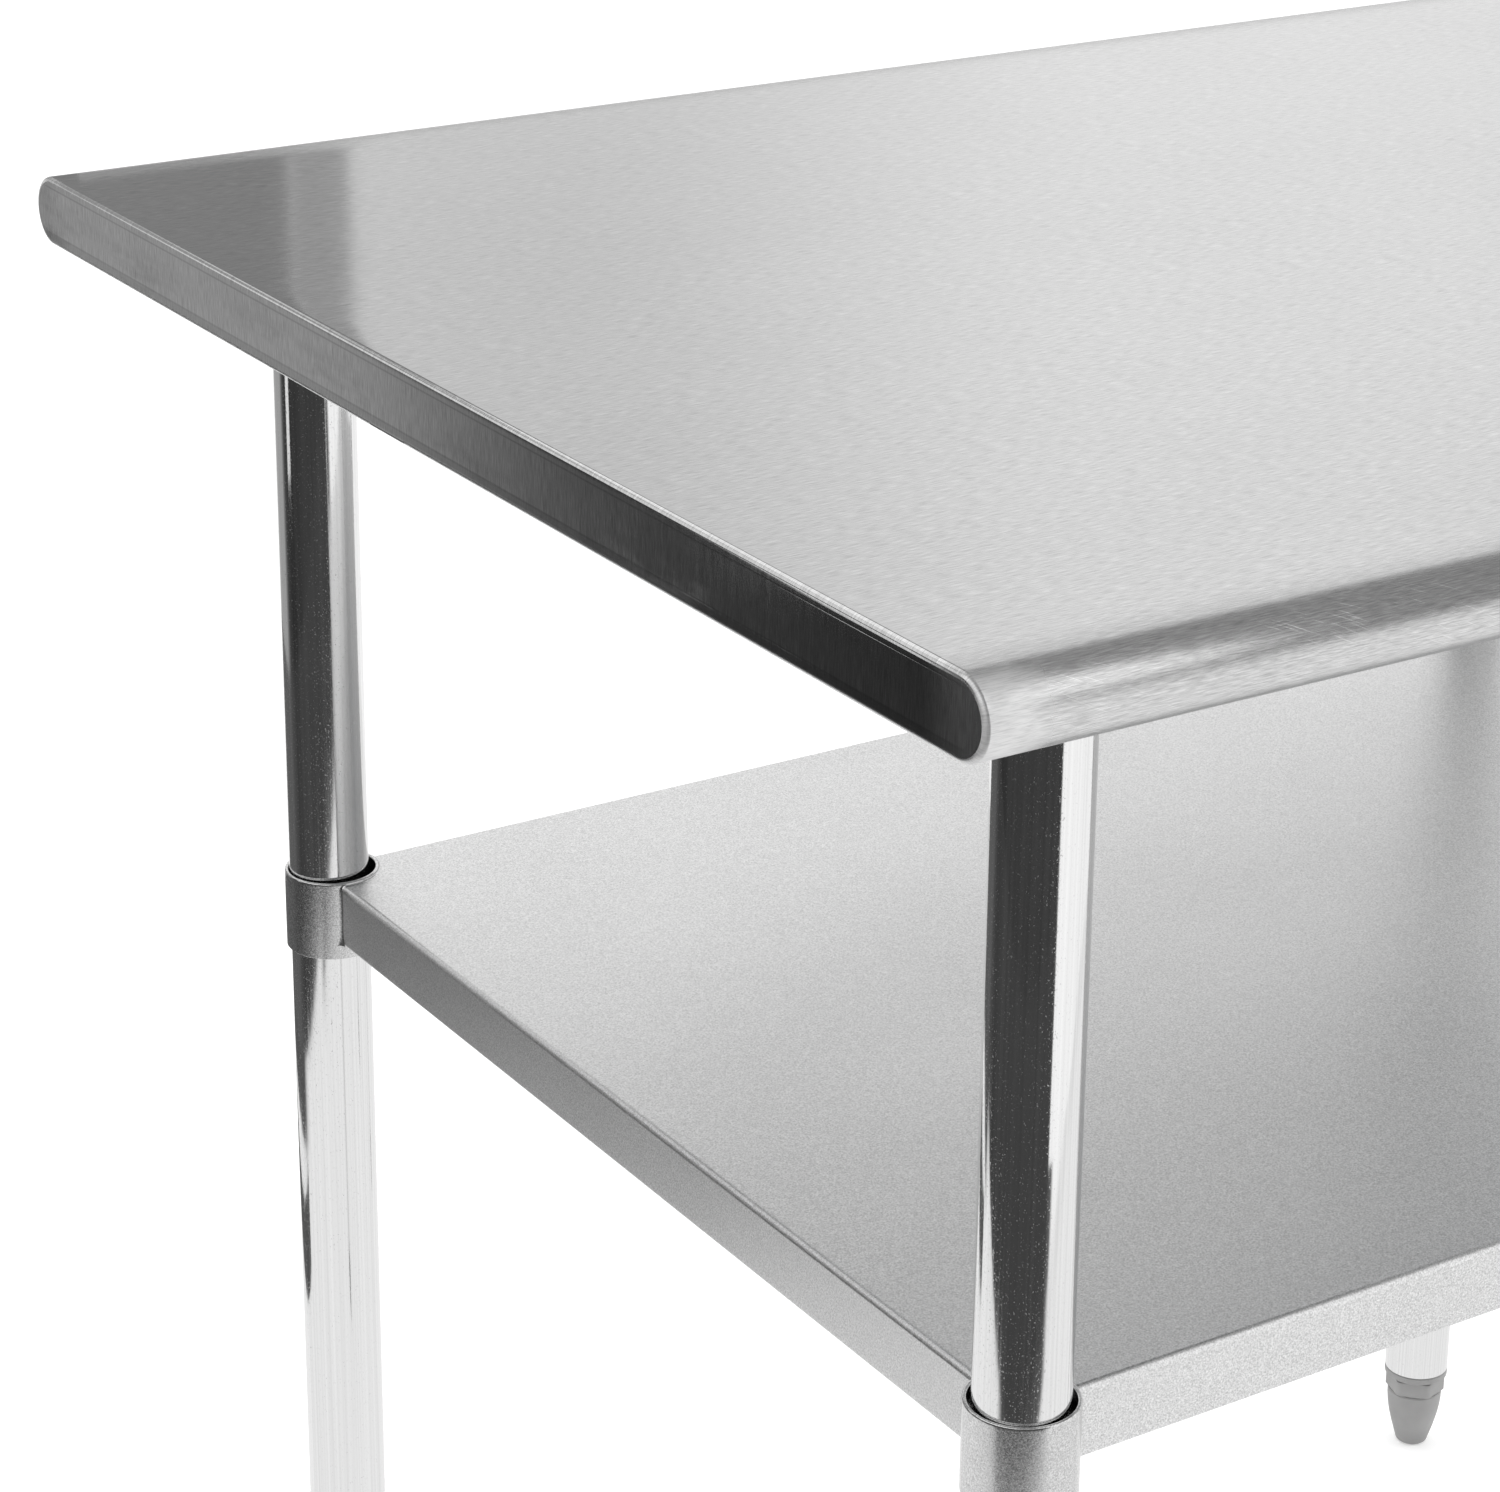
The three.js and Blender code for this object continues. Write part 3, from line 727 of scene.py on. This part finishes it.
def build_collar_screw(corner, dark, zinc):
    """The clamp screw, the nut over its hole and the weld round the nut."""
    screw_z = centre_of(f"collar_nut_{corner}").z
    collar = inward(corner, f"shelf_collar_{corner}")
    nut = hex_nut(f"collar_nut_{corner}_body", COLLAR_NUT_FLATS, COLLAR_NUT_HEIGHT,
                  SCREW_RADIUS + GAP / 2)
    nut.data.transform(along_x(collar, COLLAR_RADIUS + GAP, screw_z))
    finish(nut, "shelf", zinc, [f"collar_nut_{corner}"])
    sections = []
    nut_reach = hexagon(COLLAR_NUT_FLATS)
    for k in range(NUT_SIDES):
        angle = 2 * math.pi * k / NUT_SIDES
        reach = nut_reach(angle)
        swell = (1.3 + 0.25 * math.sin(5 * angle)) * MM
        across, up = reach * math.cos(angle), reach * math.sin(angle)
        wall = math.sqrt(COLLAR_RADIUS ** 2 - across ** 2)
        waist, spread = 1 + 0.35 * swell / reach, 1 + swell / reach
        foot = math.sqrt(COLLAR_RADIUS ** 2 - (across * spread) ** 2)
        sections.append([
            (wall - GAP, across, up), (COLLAR_RADIUS + GAP + swell, across, up),
            (COLLAR_RADIUS + GAP + swell * 0.3, across * waist, up * waist),
            (foot - GAP, across * spread, up * spread)])
    weld = hollow(f"nut_weld_{corner}", sections, collar @ Matrix.Translation((0, 0, screw_z)))
    finish(weld, "shelf", zinc)
    build_set_screw(f"clamp_screw_{corner}", f"collar_screw_{corner}", f"collar_screw_{corner}",
                    inward(corner, f"leg_{corner}"), LEG_RADIUS + GAP, screw_z,
                    CLAMP_SCREW_LENGTH, dark)


def build_collar_weld(corner, material):
    """The ground weld that runs up one skirt, round the notch and down the other skirt."""
    side_x, side_y = CORNERS[corner]
    skirt = {0: SHELF_X - COLLAR.x, 1: SHELF_Y - COLLAR.y}  # skirt faces from the collar's axis
    on_skirt, on_flat = 1.3 * MM, 1.15 * MM  # size of the fillet
    bottom = SKIRT_BOTTOM + 0.2 * MM

    def section(across, z, lean, size, axis):
        """A fillet where the skirt's surface, at a lean from upright, meets the collar."""
        other = -math.sqrt(COLLAR_RADIUS ** 2 - across ** 2)
        root = Vector((other, across, z))
        lifted = Vector((other, across + size * math.cos(lean), z + size * math.sin(lean)))
        turn = math.atan2(lifted.y, lifted.x)
        on_collar = Vector((COLLAR_RADIUS * math.cos(turn), COLLAR_RADIUS * math.sin(turn), lifted.z))
        on_shelf = root + Vector((-size, 0, 0))
        return curve(root, on_collar, on_shelf, axis)

    def curve(root, on_collar, on_shelf, axis):
        """A hollow curve between two points, closed a little behind their root."""
        points = [root - (on_collar + on_shelf - 2 * root) * 0.15]
        for k in range(6):
            t = k / 5
            points.append(on_collar * (1 - t) ** 2 + root * 2 * t * (1 - t) + on_shelf * t ** 2)
        if axis == 0:  # the end skirt is the same with x and y swapped
            points = [Vector((p.y, p.x, p.z)) for p in points]
        return points

    def skirt_sections(axis):
        """The sections from a skirt's bottom, where the weld flares, to the end of its bend."""
        found = []
        straight_top = SHELF_Z - SHELF_BEND
        for k in range(13):
            z = bottom + (straight_top - bottom) * (k / 12) ** 1.6
            flare = 1.3 * MM * math.exp(-(z - bottom) / (2.2 * MM))
            found.append(section(skirt[axis], z, 0, on_skirt + flare, axis))
        for k in range(1, 7):
            lean = math.radians(15 * k)
            across = skirt[axis] - SHELF_BEND * (1 - math.cos(lean))
            size = on_skirt + (on_flat - on_skirt) * k / 6
            found.append(section(across, straight_top + SHELF_BEND * math.sin(lean), lean, size, axis))
        return found

    first = math.pi - math.asin((skirt[1] - SHELF_BEND) / COLLAR_RADIUS)
    last = 1.5 * math.pi + math.asin((skirt[0] - SHELF_BEND) / COLLAR_RADIUS)
    flat = []
    steps = 40
    for k in range(1, steps):
        turn = first + (last - first) * k / steps
        away = Vector((math.cos(turn), math.sin(turn), 0))
        root = away * COLLAR_RADIUS + Vector((0, 0, SHELF_Z))
        size = on_flat * (1 + 0.05 * math.sin(9 * turn))
        flat.append(curve(root, root + Vector((0, 0, size)), root + away * size, 1))
    rows = skirt_sections(1) + flat + skirt_sections(0)[::-1]
    rows = [[(side_x * (COLLAR.x + p.x), side_y * (COLLAR.y + p.y), p.z) for p in row] for row in rows]
    weld = solid(f"collar_weld_{corner}", rows)
    finish(weld, "shelf", material)


# ---------------------------------------------------------------- materials
class Look:
    """A material whose Principled shader is fed by procedural nodes."""

    def __init__(self, name, colour, roughness, metallic=1.0):
        self.material = bpy.data.materials.new(name)
        self.material.use_nodes = True
        self.tree = self.material.node_tree
        self.shader = self.tree.nodes["Principled BSDF"]
        self.shader.inputs["Base Color"].default_value = (*colour, 1)
        self.shader.inputs["Roughness"].default_value = roughness
        self.shader.inputs["Metallic"].default_value = metallic
        self.material.diffuse_color = (*colour, 1)

    def node(self, kind, inputs, output=0, **settings):
        """Adds a node, sets or links its inputs and returns one of its outputs."""
        made = self.tree.nodes.new("ShaderNode" + kind)
        for name, value in settings.items():
            setattr(made, name, value)
        for name, value in inputs.items():
            self.feed(made.inputs[name], value)
        return made.outputs[output]

    def feed(self, socket, value):
        if isinstance(value, bpy.types.NodeSocket):
            self.tree.links.new(value, socket)
        else:
            socket.default_value = value

    def set(self, name, value):
        self.feed(self.shader.inputs[name], value)

    def place(self):
        return self.node("TexCoord", {}, output=3)  # Object: the piece's own rest place

    def grain(self):
        return self.node("UVMap", {}, uv_map="Grain")

    def stretch(self, vector, along, across, up=1.0):
        return self.node("Mapping", {"Vector": vector, "Scale": (along, across, up)})

    def noise(self, vector, scale, detail=2.0, roughness=0.5):
        sizes = {"Vector": vector, "Scale": scale, "Detail": detail, "Roughness": roughness}
        return self.node("TexNoise", sizes)

    def remap(self, value, low, high, to_low, to_high):
        ends = {"Value": value, "From Min": low, "From Max": high, "To Min": to_low, "To Max": to_high}
        return self.node("MapRange", ends)

    def spread(self, noise, low, high):
        """Maps the range that a noise mostly keeps to low and high."""
        return self.remap(noise, 0.3, 0.7, low, high)

    def math(self, operation, first, second=0.0):
        return self.node("Math", {0: first, 1: second}, operation=operation)

    def plus(self, first, second):
        return self.math("ADD", first, second)

    def times(self, first, second):
        return self.math("MULTIPLY", first, second)

    def mix(self, share, first, second):
        """Mixes two colours by share."""
        colours = {0: share, 6: first, 7: second}
        return self.node("Mix", colours, output=2, data_type="RGBA")

    def bump(self, height, distance, strength=1.0, normal=None):
        inputs = {"Height": height, "Distance": distance, "Strength": strength}
        if normal:
            inputs["Normal"] = normal
        return self.node("Bump", inputs)


GRINDING_SLANT = math.radians(28)  # of the scratches on the rolls


def grey(value, warm=0.0):
    return (value + warm, value, value - warm)


def shade(value, warm=0.0):
    return (*grey(value, warm), 1)


def brushed_stainless():
    """Fine straight grain, with ground rolls, polished corner welds whose colour is lifted as a painted
    highlight, darker blotches low on the end faces and painted shade along their fold lines.
    """
    look = Look("brushed_stainless", grey(0.6), 0.3)
    grain = look.grain()
    place = look.place()
    hair = look.noise(look.stretch(grain, 130, 1900), 1, 2, 0.6)
    streak = look.noise(look.stretch(grain, 6, 260), 1, 3)
    smear = look.noise(place, 5, 3, 0.55)
    split = look.node("SeparateXYZ", {"Vector": grain})
    along = look.math("ABSOLUTE", split)
    across = look.math("ABSOLUTE", split.node.outputs[1])

    # Masks: the last stretch before an end, the end faces, the rolls, the flat beside them.
    near_end = look.remap(along, HALF_LENGTH - 30 * MM, HALF_LENGTH - 13 * MM, 0, 1)
    on_end = look.remap(along, HALF_LENGTH + 0.5 * MM, HALF_LENGTH + 1.5 * MM, 0, 1)
    on_roll = look.remap(across, FLAT_REACH + 1 * MM, FLAT_REACH + 7 * MM, 0, 1)
    by_roll = look.remap(across, FLAT_REACH - 20 * MM, FLAT_REACH + 3 * MM, 0, 1)
    off_end = look.math("SUBTRACT", 1.0, on_end)
    off_roll = look.math("SUBTRACT", 1.0, on_roll)
    # The polished corner weld: it has its own roughness, and its colour is also lifted as a painted
    # highlight that fades the roll's dark reflection near the corner.
    weld = look.times(look.times(near_end, off_end), on_roll)

    # Arcs left by the grinding of the rolls, and darker blotches low on the end faces.
    turned = look.node("Mapping", {"Vector": grain, "Rotation": (0, 0, GRINDING_SLANT)})
    scratch = look.remap(look.noise(look.stretch(turned, 50, 1600), 1, 2), 0.6, 0.68, 0, 1)
    ground = look.times(on_roll, look.remap(look.noise(place, 18, 2), 0.48, 0.6, 0, 1))
    scratch = look.times(scratch, ground)
    low_down = look.remap(along, HALF_LENGTH + 8 * MM, HALF_LENGTH + 29 * MM, 0.2, 1)
    patch = look.remap(look.noise(look.stretch(place, 1, 16, 70), 1, 4, 0.6), 0.48, 0.66, 0, 1)
    low_blotch = look.times(look.times(on_end, low_down), patch)

    # The fold lines along an end face, darkened as painted shade in their creases, and the hem below the
    # lower one.
    fold_shades = []
    for below_top in (END_BAND, EDGE_HEIGHT - HEM_BAND):
        away = look.math("ABSOLUTE", look.math("SUBTRACT", along, HALF_LENGTH + below_top))
        fold_shades.append(look.remap(away, 0.15 * MM, 0.6 * MM, 1, 0))
    fold = look.times(look.math("MAXIMUM", *fold_shades), off_roll)
    hem_start = HALF_LENGTH + EDGE_HEIGHT - HEM_BAND
    hem = look.times(look.remap(along, hem_start, hem_start + 0.5 * MM, 0, 1), off_roll)

    tone = look.plus(look.spread(hair, -0.3, 0.3), look.spread(streak, -0.025, 0.025))
    tone = look.plus(tone, look.spread(smear, -0.03, 0.03))
    tone = look.plus(tone, look.times(scratch, 0.25))
    # Darker blotches, growing towards the bottom of the end faces.
    tone = look.math("SUBTRACT", tone, look.times(low_blotch, 0.35))
    # Painted shade along the fold lines.
    tone = look.math("SUBTRACT", tone, look.times(fold, 0.3))
    tone = look.math("SUBTRACT", tone, look.times(hem, 0.22))
    # Painted highlight: the corner welds' colour is lifted.
    tone = look.plus(tone, look.times(weld, 0.4))
    share = look.plus(tone, 0.5)
    look.set("Base Color", look.mix(share, shade(0.36), shade(0.84)))
    rough = look.plus(look.spread(streak, 0.055, 0.075), look.times(by_roll, 0.17))
    polished = look.spread(look.noise(place, 120, 3), 0.36, 0.46)
    rough = look.node("Mix", {0: weld, 2: rough, 3: polished})
    rough = look.plus(rough, look.times(low_blotch, 0.08))
    look.set("Roughness", rough)
    look.set("Anisotropic", 0.95)
    look.set("Anisotropic Rotation", 0.25)
    look.set("Tangent", look.node("Tangent", {}, direction_type="UV_MAP", uv_map="Grain"))
    wave = look.bump(look.noise(look.stretch(place, 3, 6, 6), 1, 1), 0.4 * MM, 0.4)
    wave = look.bump(scratch, 0.02 * MM, 0.6, wave)
    look.set("Normal", look.bump(hair, 0.008 * MM, 0.3, wave))
    return look.material


def polished_tube():
    """Mirror-like tube, with drawing lines along it and dull specks."""
    look = Look("polished_tube", grey(0.72), 0.06)
    grain = look.grain()
    place = look.place()
    streak = look.noise(look.stretch(grain, 2.2, 900), 1, 3)
    fleck = look.noise(look.stretch(place, 1, 1, 0.6), 1700, 2)
    specks = look.remap(fleck, 0.63, 0.72, 0, 1)
    haze = look.noise(place, 14, 3)
    tone = look.spread(streak, 0, 1)
    colour = look.mix(tone, shade(0.72), shade(0.82))
    look.set("Base Color", look.mix(look.times(specks, 0.35), colour, shade(0.4)))
    rough = look.spread(streak, 0.03, 0.1)
    rough = look.plus(rough, look.remap(haze, 0.35, 0.7, 0, 0.04))
    rough = look.plus(rough, look.times(specks, 0.3))
    look.set("Roughness", rough)
    wave = look.bump(look.noise(look.stretch(grain, 1.6, 160), 1, 2), 0.04 * MM, 0.5)
    look.set("Normal", look.bump(specks, 0.01 * MM, 0.5, wave))
    return look.material


def satin_sheet(name, colour, roughness, rim_z=None):
    """Fine-speckled satin steel. Above rim_z it is polished by handling."""
    look = Look(name, grey(colour), roughness)
    place = look.place()
    speck = look.noise(place, 1500, 2, 0.7)
    cloud = look.noise(place, 9, 4)
    tone = look.plus(look.spread(speck, 0, 1), look.spread(cloud, -0.03, 0.03))
    look.set("Base Color", look.mix(tone, shade(colour * 0.66), shade(colour * 1.32)))
    rough = look.spread(speck, roughness - 0.05, roughness + 0.05)
    if rim_z:
        height = look.node("SeparateXYZ", {"Vector": place}, output=2)
        rim = look.remap(height, rim_z, rim_z + 0.5 * MM, 0, 1)
        rough = look.node("Mix", {0: rim, 2: rough, 3: 0.16})
    look.set("Roughness", rough)
    look.set("Normal", look.bump(speck, 0.012 * MM, 0.4))
    return look.material


def galvanised():
    """Zinc-coated sheet with its crystal pattern."""
    look = Look("galvanised", grey(0.42), 0.45)
    place = look.place()
    spangle = look.node("TexVoronoi", {"Vector": place, "Scale": 130.0}, output=1)
    flake = look.node("SeparateXYZ", {"Vector": spangle})
    cloud = look.noise(place, 12, 3)
    tone = look.plus(look.remap(flake, 0, 1, 0.15, 0.7), look.spread(cloud, -0.1, 0.1))
    look.set("Base Color", look.mix(tone, (0.34, 0.355, 0.37, 1), (0.56, 0.58, 0.6, 1)))
    look.set("Roughness", look.remap(flake, 0, 1, 0.36, 0.56))
    look.set("Normal", look.bump(cloud, 0.1 * MM, 0.3))
    return look.material


def die_casting():
    look = Look("die_casting", grey(0.36), 0.5)
    place = look.place()
    skin = look.noise(place, 420, 4, 0.6)
    cloud = look.noise(place, 25, 3)
    look.set("Base Color", look.mix(look.spread(cloud, 0, 1), shade(0.31), shade(0.44)))
    look.set("Roughness", look.spread(skin, 0.42, 0.6))
    look.set("Normal", look.bump(skin, 0.06 * MM, 0.5))
    return look.material


def bright_zinc():
    look = Look("bright_zinc", (0.53, 0.55, 0.58), 0.28)
    place = look.place()
    cloud = look.noise(place, 160, 3)
    tint = look.mix(look.spread(cloud, 0, 1), (0.46, 0.49, 0.53, 1), (0.62, 0.62, 0.6, 1))
    look.set("Base Color", tint)
    look.set("Roughness", look.spread(cloud, 0.22, 0.38))
    look.set("Normal", look.bump(look.noise(place, 900, 2), 0.01 * MM, 0.4))
    return look.material


def black_oxide():
    look = Look("black_oxide", grey(0.03), 0.42)
    place = look.place()
    worn = look.remap(look.noise(place, 300, 4), 0.5, 0.75, 0, 1)
    look.set("Base Color", look.mix(worn, shade(0.022), shade(0.1)))
    look.set("Roughness", look.remap(worn, 0, 1, 0.46, 0.32))
    look.set("Normal", look.bump(look.noise(place, 1200, 2), 0.01 * MM, 0.4))
    return look.material


def moulded_plastic():
    look = Look("moulded_plastic", grey(0.27), 0.5, metallic=0.0)
    place = look.place()
    skin = look.noise(place, 1100, 3, 0.6)
    cloud = look.noise(place, 40, 3)
    height = look.node("SeparateXYZ", {"Vector": place}, output=2)
    low_down = look.remap(height, 0, 12 * MM, 1, 0)
    scuff = look.times(low_down, look.remap(cloud, 0.4, 0.65, 0, 1))
    base = look.mix(look.spread(cloud, 0, 1), shade(0.25, 0.002), shade(0.3, 0.002))
    look.set("Base Color", look.mix(scuff, base, shade(0.17)))
    look.set("Roughness", look.plus(look.spread(skin, 0.42, 0.55),
                                    look.times(scuff, 0.15)))
    look.set("Normal", look.bump(skin, 0.03 * MM, 0.5))
    return look.material


# ---------------------------------------------------------------- studio
FLOOR_REACH = 14
NEAR_WALL_RADIUS = 1.25
NEAR_WALL_STEPS = (0.005, 0.075, 0.36, 0.91)  # where the foot, low and near walls begin and end
FAR_WALL_RADIUS = 14
FAR_WALL_TOP = 9.0

# What stands round the table, as (degrees anticlockwise from +X, brightness).
FOOT_WALL_TONES = [
    (-180, 1.0), (-168, 1.0), (-160, 0.1), (-102, 0.08), (-96, 0.9), (98, 1.0), (102, 0.1), (142, 0.1),
    (147, 0.7), (152, 1.0), (180, 1.0)]
LOW_WALL_TONES = [
    (-180, 0.06), (-104, 0.06), (-98, 0.14), (-94, 1.1), (84, 1.1), (92, 0.1), (104, 0.13), (136, 0.12),
    (143, 0.08), (152, 0.05), (180, 0.07)]
NEAR_WALL_TONES = [
    (-180, 0.05), (-104, 0.05), (-98, 0.12), (-94, 1.1), (60, 1.1), (98, 1.0), (112, 0.4), (134, 0.4),
    (139, 0.16), (143, 0.06), (152, 0.03), (180, 0.05)]
FAR_WALL_TONES = [
    (-180, 0.9), (-110, 0.9), (-80, 0.2), (-60, 0.2), (20, 0.8), (48, 0.97), (54, 0.97), (57, 0.88),
    (61, 0.75), (80, 0.74), (86, 0.95), (180, 0.9)]
FAR_WALL_GAIN = 1.05


def square(z):
    """The corners of a level square as wide as the floor."""
    reach = FLOOR_REACH
    return [(-reach, -reach, z), (reach, -reach, z), (reach, reach, z), (-reach, reach, z)]


def upright(first, last, radius, low, high):
    """The corners of an upright card between two directions, in degrees anticlockwise from +X."""
    ends = [(radius * math.cos(math.radians(turn)), radius * math.sin(math.radians(turn)))
            for turn in (first, last)]
    return [(*ends[0], low), (*ends[1], low), (*ends[1], high), (*ends[0], high)]


def lengthwise(first, last, y, low, high):
    """The corners of an upright card along X."""
    return [(first, y, low), (last, y, low), (last, y, high), (first, y, high)]


# Flat cards that only reflections see: corners and brightness.
CARDS = {
    "ceiling": (square(FAR_WALL_TOP), 0.34),
    "front": ([(-0.3, -1.24, 0.97), (0.3, -1.2, 1.2), (0.66, -1.05, 2.3), (-0.3, -1.24, 2.3)], 1.45),
    "under_front": (lengthwise(-0.36, 1.0, -0.42, 0.6, 0.82), 1.1),
    "behind": (lengthwise(-0.38, 1.2, 0.52, 0.45, 0.92), 1.05),
    "back_left": (upright(66.46, 84, 13.5, 0.95, 8.9), 0.28),
    "back_left_strip": (upright(65.5, 66.41, 13.5, 0.95, 8.9), 0.4),
    "back_dim": (upright(84.1, 117, 13.4, 0.95, 7.7), 0.42),
    "back_high": (upright(75, 125, 5.0, 3.8, 7.3), 1.3),
    "left_high": ([(-2.6, -2.6, 1.2), (-2.6, 1.5, 1.2), (-2.0, 1.5, 3.2), (-2.0, -2.2, 3.2)], 1.2),
    "left_strip": (upright(150, 157, 1.235, 0.5, 0.8), 0.9),
    "left_foot": (upright(101, 144, 1.08, 0.005, 0.08), 0.1),
    "pale_ground": (square(0.002), 1.0),
}

# Lights that reflections don't see: place, what they point at, size and watts.
LIGHTS = {
    "overhead": ((-0.4, 0.3, 3.0), (0, 0, 0.8), (2.4, 2.4), 45),
    "right_side": ((3.0, -1.2, 1.6), (0, 0, 0.6), (1.6, 1.8), 25),
}


def glow(name, strength):
    """A material that only shines, and its emission shader."""
    look = Look(name, grey(0), 1.0, metallic=0.0)
    tree = look.tree
    shine = tree.nodes.new("ShaderNodeEmission")
    tree.links.new(shine.outputs[0], tree.nodes["Material Output"].inputs["Surface"])
    look.feed(shine.inputs["Strength"], strength)
    return look, shine


def build_wall(name, radius, low, high, tones, gain=1.0):
    """A round wall that only reflections see, with its brightness set by direction."""
    shape = Shape()
    shape.grid([circle(radius, low), circle(radius, high)], wrap=True)
    wall = shape.build(name)
    look, shine = glow(name, gain)
    turn = look.node("TexGradient", {"Vector": look.place()}, output=1, gradient_type="RADIAL")
    ramp = look.tree.nodes.new("ShaderNodeValToRGB")
    look.feed(ramp.inputs[0], turn)
    stops = ramp.color_ramp.elements
    stops[0].position = 0
    stops[0].color = shade(tones[0][1])
    stops[1].position = 1
    stops[1].color = shade(tones[-1][1])
    for degrees, tone in tones[1:-1]:
        stops.new((degrees + 180) / 360).color = shade(tone)
    look.feed(shine.inputs["Color"], ramp.outputs[0])
    wall.data.materials.append(look.material)
    only_in_reflections(wall)


def build_card(name, corners, tone):
    """A flat card that only reflections see."""
    shape = Shape()
    shape.face(corners)
    card = shape.build(name)
    card.data.materials.append(glow(name, tone)[0].material)
    only_in_reflections(card)


def only_in_reflections(thing):
    thing.visible_camera = False
    thing.visible_diffuse = False
    thing.visible_transmission = False
    thing.visible_volume_scatter = False
    thing.visible_shadow = False
    thing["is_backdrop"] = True


def build_floor():
    shape = Shape()
    shape.face(square(0))
    floor = shape.build("floor")
    look = Look("pale_floor", grey(0.8), 0.9, metallic=0.0)
    look.set("Emission Color", shade(1.0))
    look.set("Emission Strength", 0.3)
    floor.data.materials.append(look.material)
    floor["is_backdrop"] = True


def build_light(name, place, target, size, energy):
    data = bpy.data.lights.new(name, "AREA")
    data.shape = "RECTANGLE"
    data.size, data.size_y = size
    data.energy = energy
    lamp = bpy.data.objects.new(name, data)
    lamp.location = place
    lamp.visible_glossy = False
    lamp.rotation_euler = (Vector(target) - Vector(place)).to_track_quat("-Z", "Y").to_euler()
    bpy.context.scene.collection.objects.link(lamp)


def build_studio():
    world = bpy.data.worlds.new("studio")
    world.use_nodes = True
    world.node_tree.nodes["Background"].inputs["Color"].default_value = (1, 1, 1, 1)
    world.node_tree.nodes["Background"].inputs["Strength"].default_value = 1.0
    bpy.context.scene.world = world
    bpy.context.scene.view_settings.view_transform = "Standard"
    bpy.context.scene.view_settings.look = "None"
    build_floor()
    near_tones = {
        "foot_wall": FOOT_WALL_TONES, "low_wall": LOW_WALL_TONES, "near_wall": NEAR_WALL_TONES}
    for (name, tones), low, high in zip(near_tones.items(), NEAR_WALL_STEPS, NEAR_WALL_STEPS[1:]):
        build_wall(name, NEAR_WALL_RADIUS, low, high, tones)
    build_wall("far_wall", FAR_WALL_RADIUS, NEAR_WALL_STEPS[-1], FAR_WALL_TOP, FAR_WALL_TONES,
               FAR_WALL_GAIN)
    for name, (corners, tone) in CARDS.items():
        build_card(f"{name}_card", corners, tone)
    for name, (place, target, size, energy) in LIGHTS.items():
        build_light(name, place, target, size, energy)


# ---------------------------------------------------------------- camera
CAMERA_PLACE = (-1.1558, -1.3523, 1.3537)
CAMERA_YAW = 33.637  # from +Y towards +X, in degrees
CAMERA_PITCH = 20.006  # down
CAMERA_ROLL = -0.983
CAMERA_SENSOR = 36  # millimetres wide
CAMERA_LENS = 97.94  # millimetres
CAMERA_SHIFT = (-0.0667, -0.1)


def build_camera():
    data = bpy.data.cameras.new("camera")
    data.sensor_width = CAMERA_SENSOR
    data.lens = CAMERA_LENS
    data.shift_x, data.shift_y = CAMERA_SHIFT
    data.clip_end = 100
    camera = bpy.data.objects.new("camera", data)
    camera.matrix_world = (
        Matrix.Translation(CAMERA_PLACE)
        @ Matrix.Rotation(math.radians(-CAMERA_YAW), 4, "Z")
        @ Matrix.Rotation(math.radians(90 - CAMERA_PITCH), 4, "X")
        @ Matrix.Rotation(math.radians(-CAMERA_ROLL), 4, "Z"))
    bpy.context.scene.collection.objects.link(camera)
    bpy.context.scene.camera = camera


# ---------------------------------------------------------------- the table
def build_table():
    build_table_top()
    build_studs_and_nuts()
    build_channels()
    build_undershelf(satin_sheet("satin_shelf", 0.7, 0.36))
    tube = polished_tube()
    casting = die_casting()
    dark = black_oxide()
    plastic = moulded_plastic()
    zinc = bright_zinc()
    rim_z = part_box("shelf_collar_front_left")[1].z - 1.3 * MM  # where the polished rim begins
    collar = satin_sheet("satin_collar", 0.62, 0.2, rim_z)
    for corner in CORNERS:
        build_leg(corner, tube)
        build_socket(corner, casting)
        build_set_screw(f"socket_set_screw_{corner}", f"socket_screw_{corner}", "frame",
                        inward(corner, f"leg_{corner}"), LEG_RADIUS + GAP,
                        centre_of(f"socket_screw_{corner}").z, SOCKET_SCREW_LENGTH, dark)
        build_foot(corner, plastic, zinc)
        build_collar(corner, collar)
        build_collar_screw(corner, dark, zinc)
        build_collar_weld(corner, collar)


build_camera()
build_studio()
build_table()
low_high = [[list(corner) for corner in box] for box in (CAD_BOX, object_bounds())]
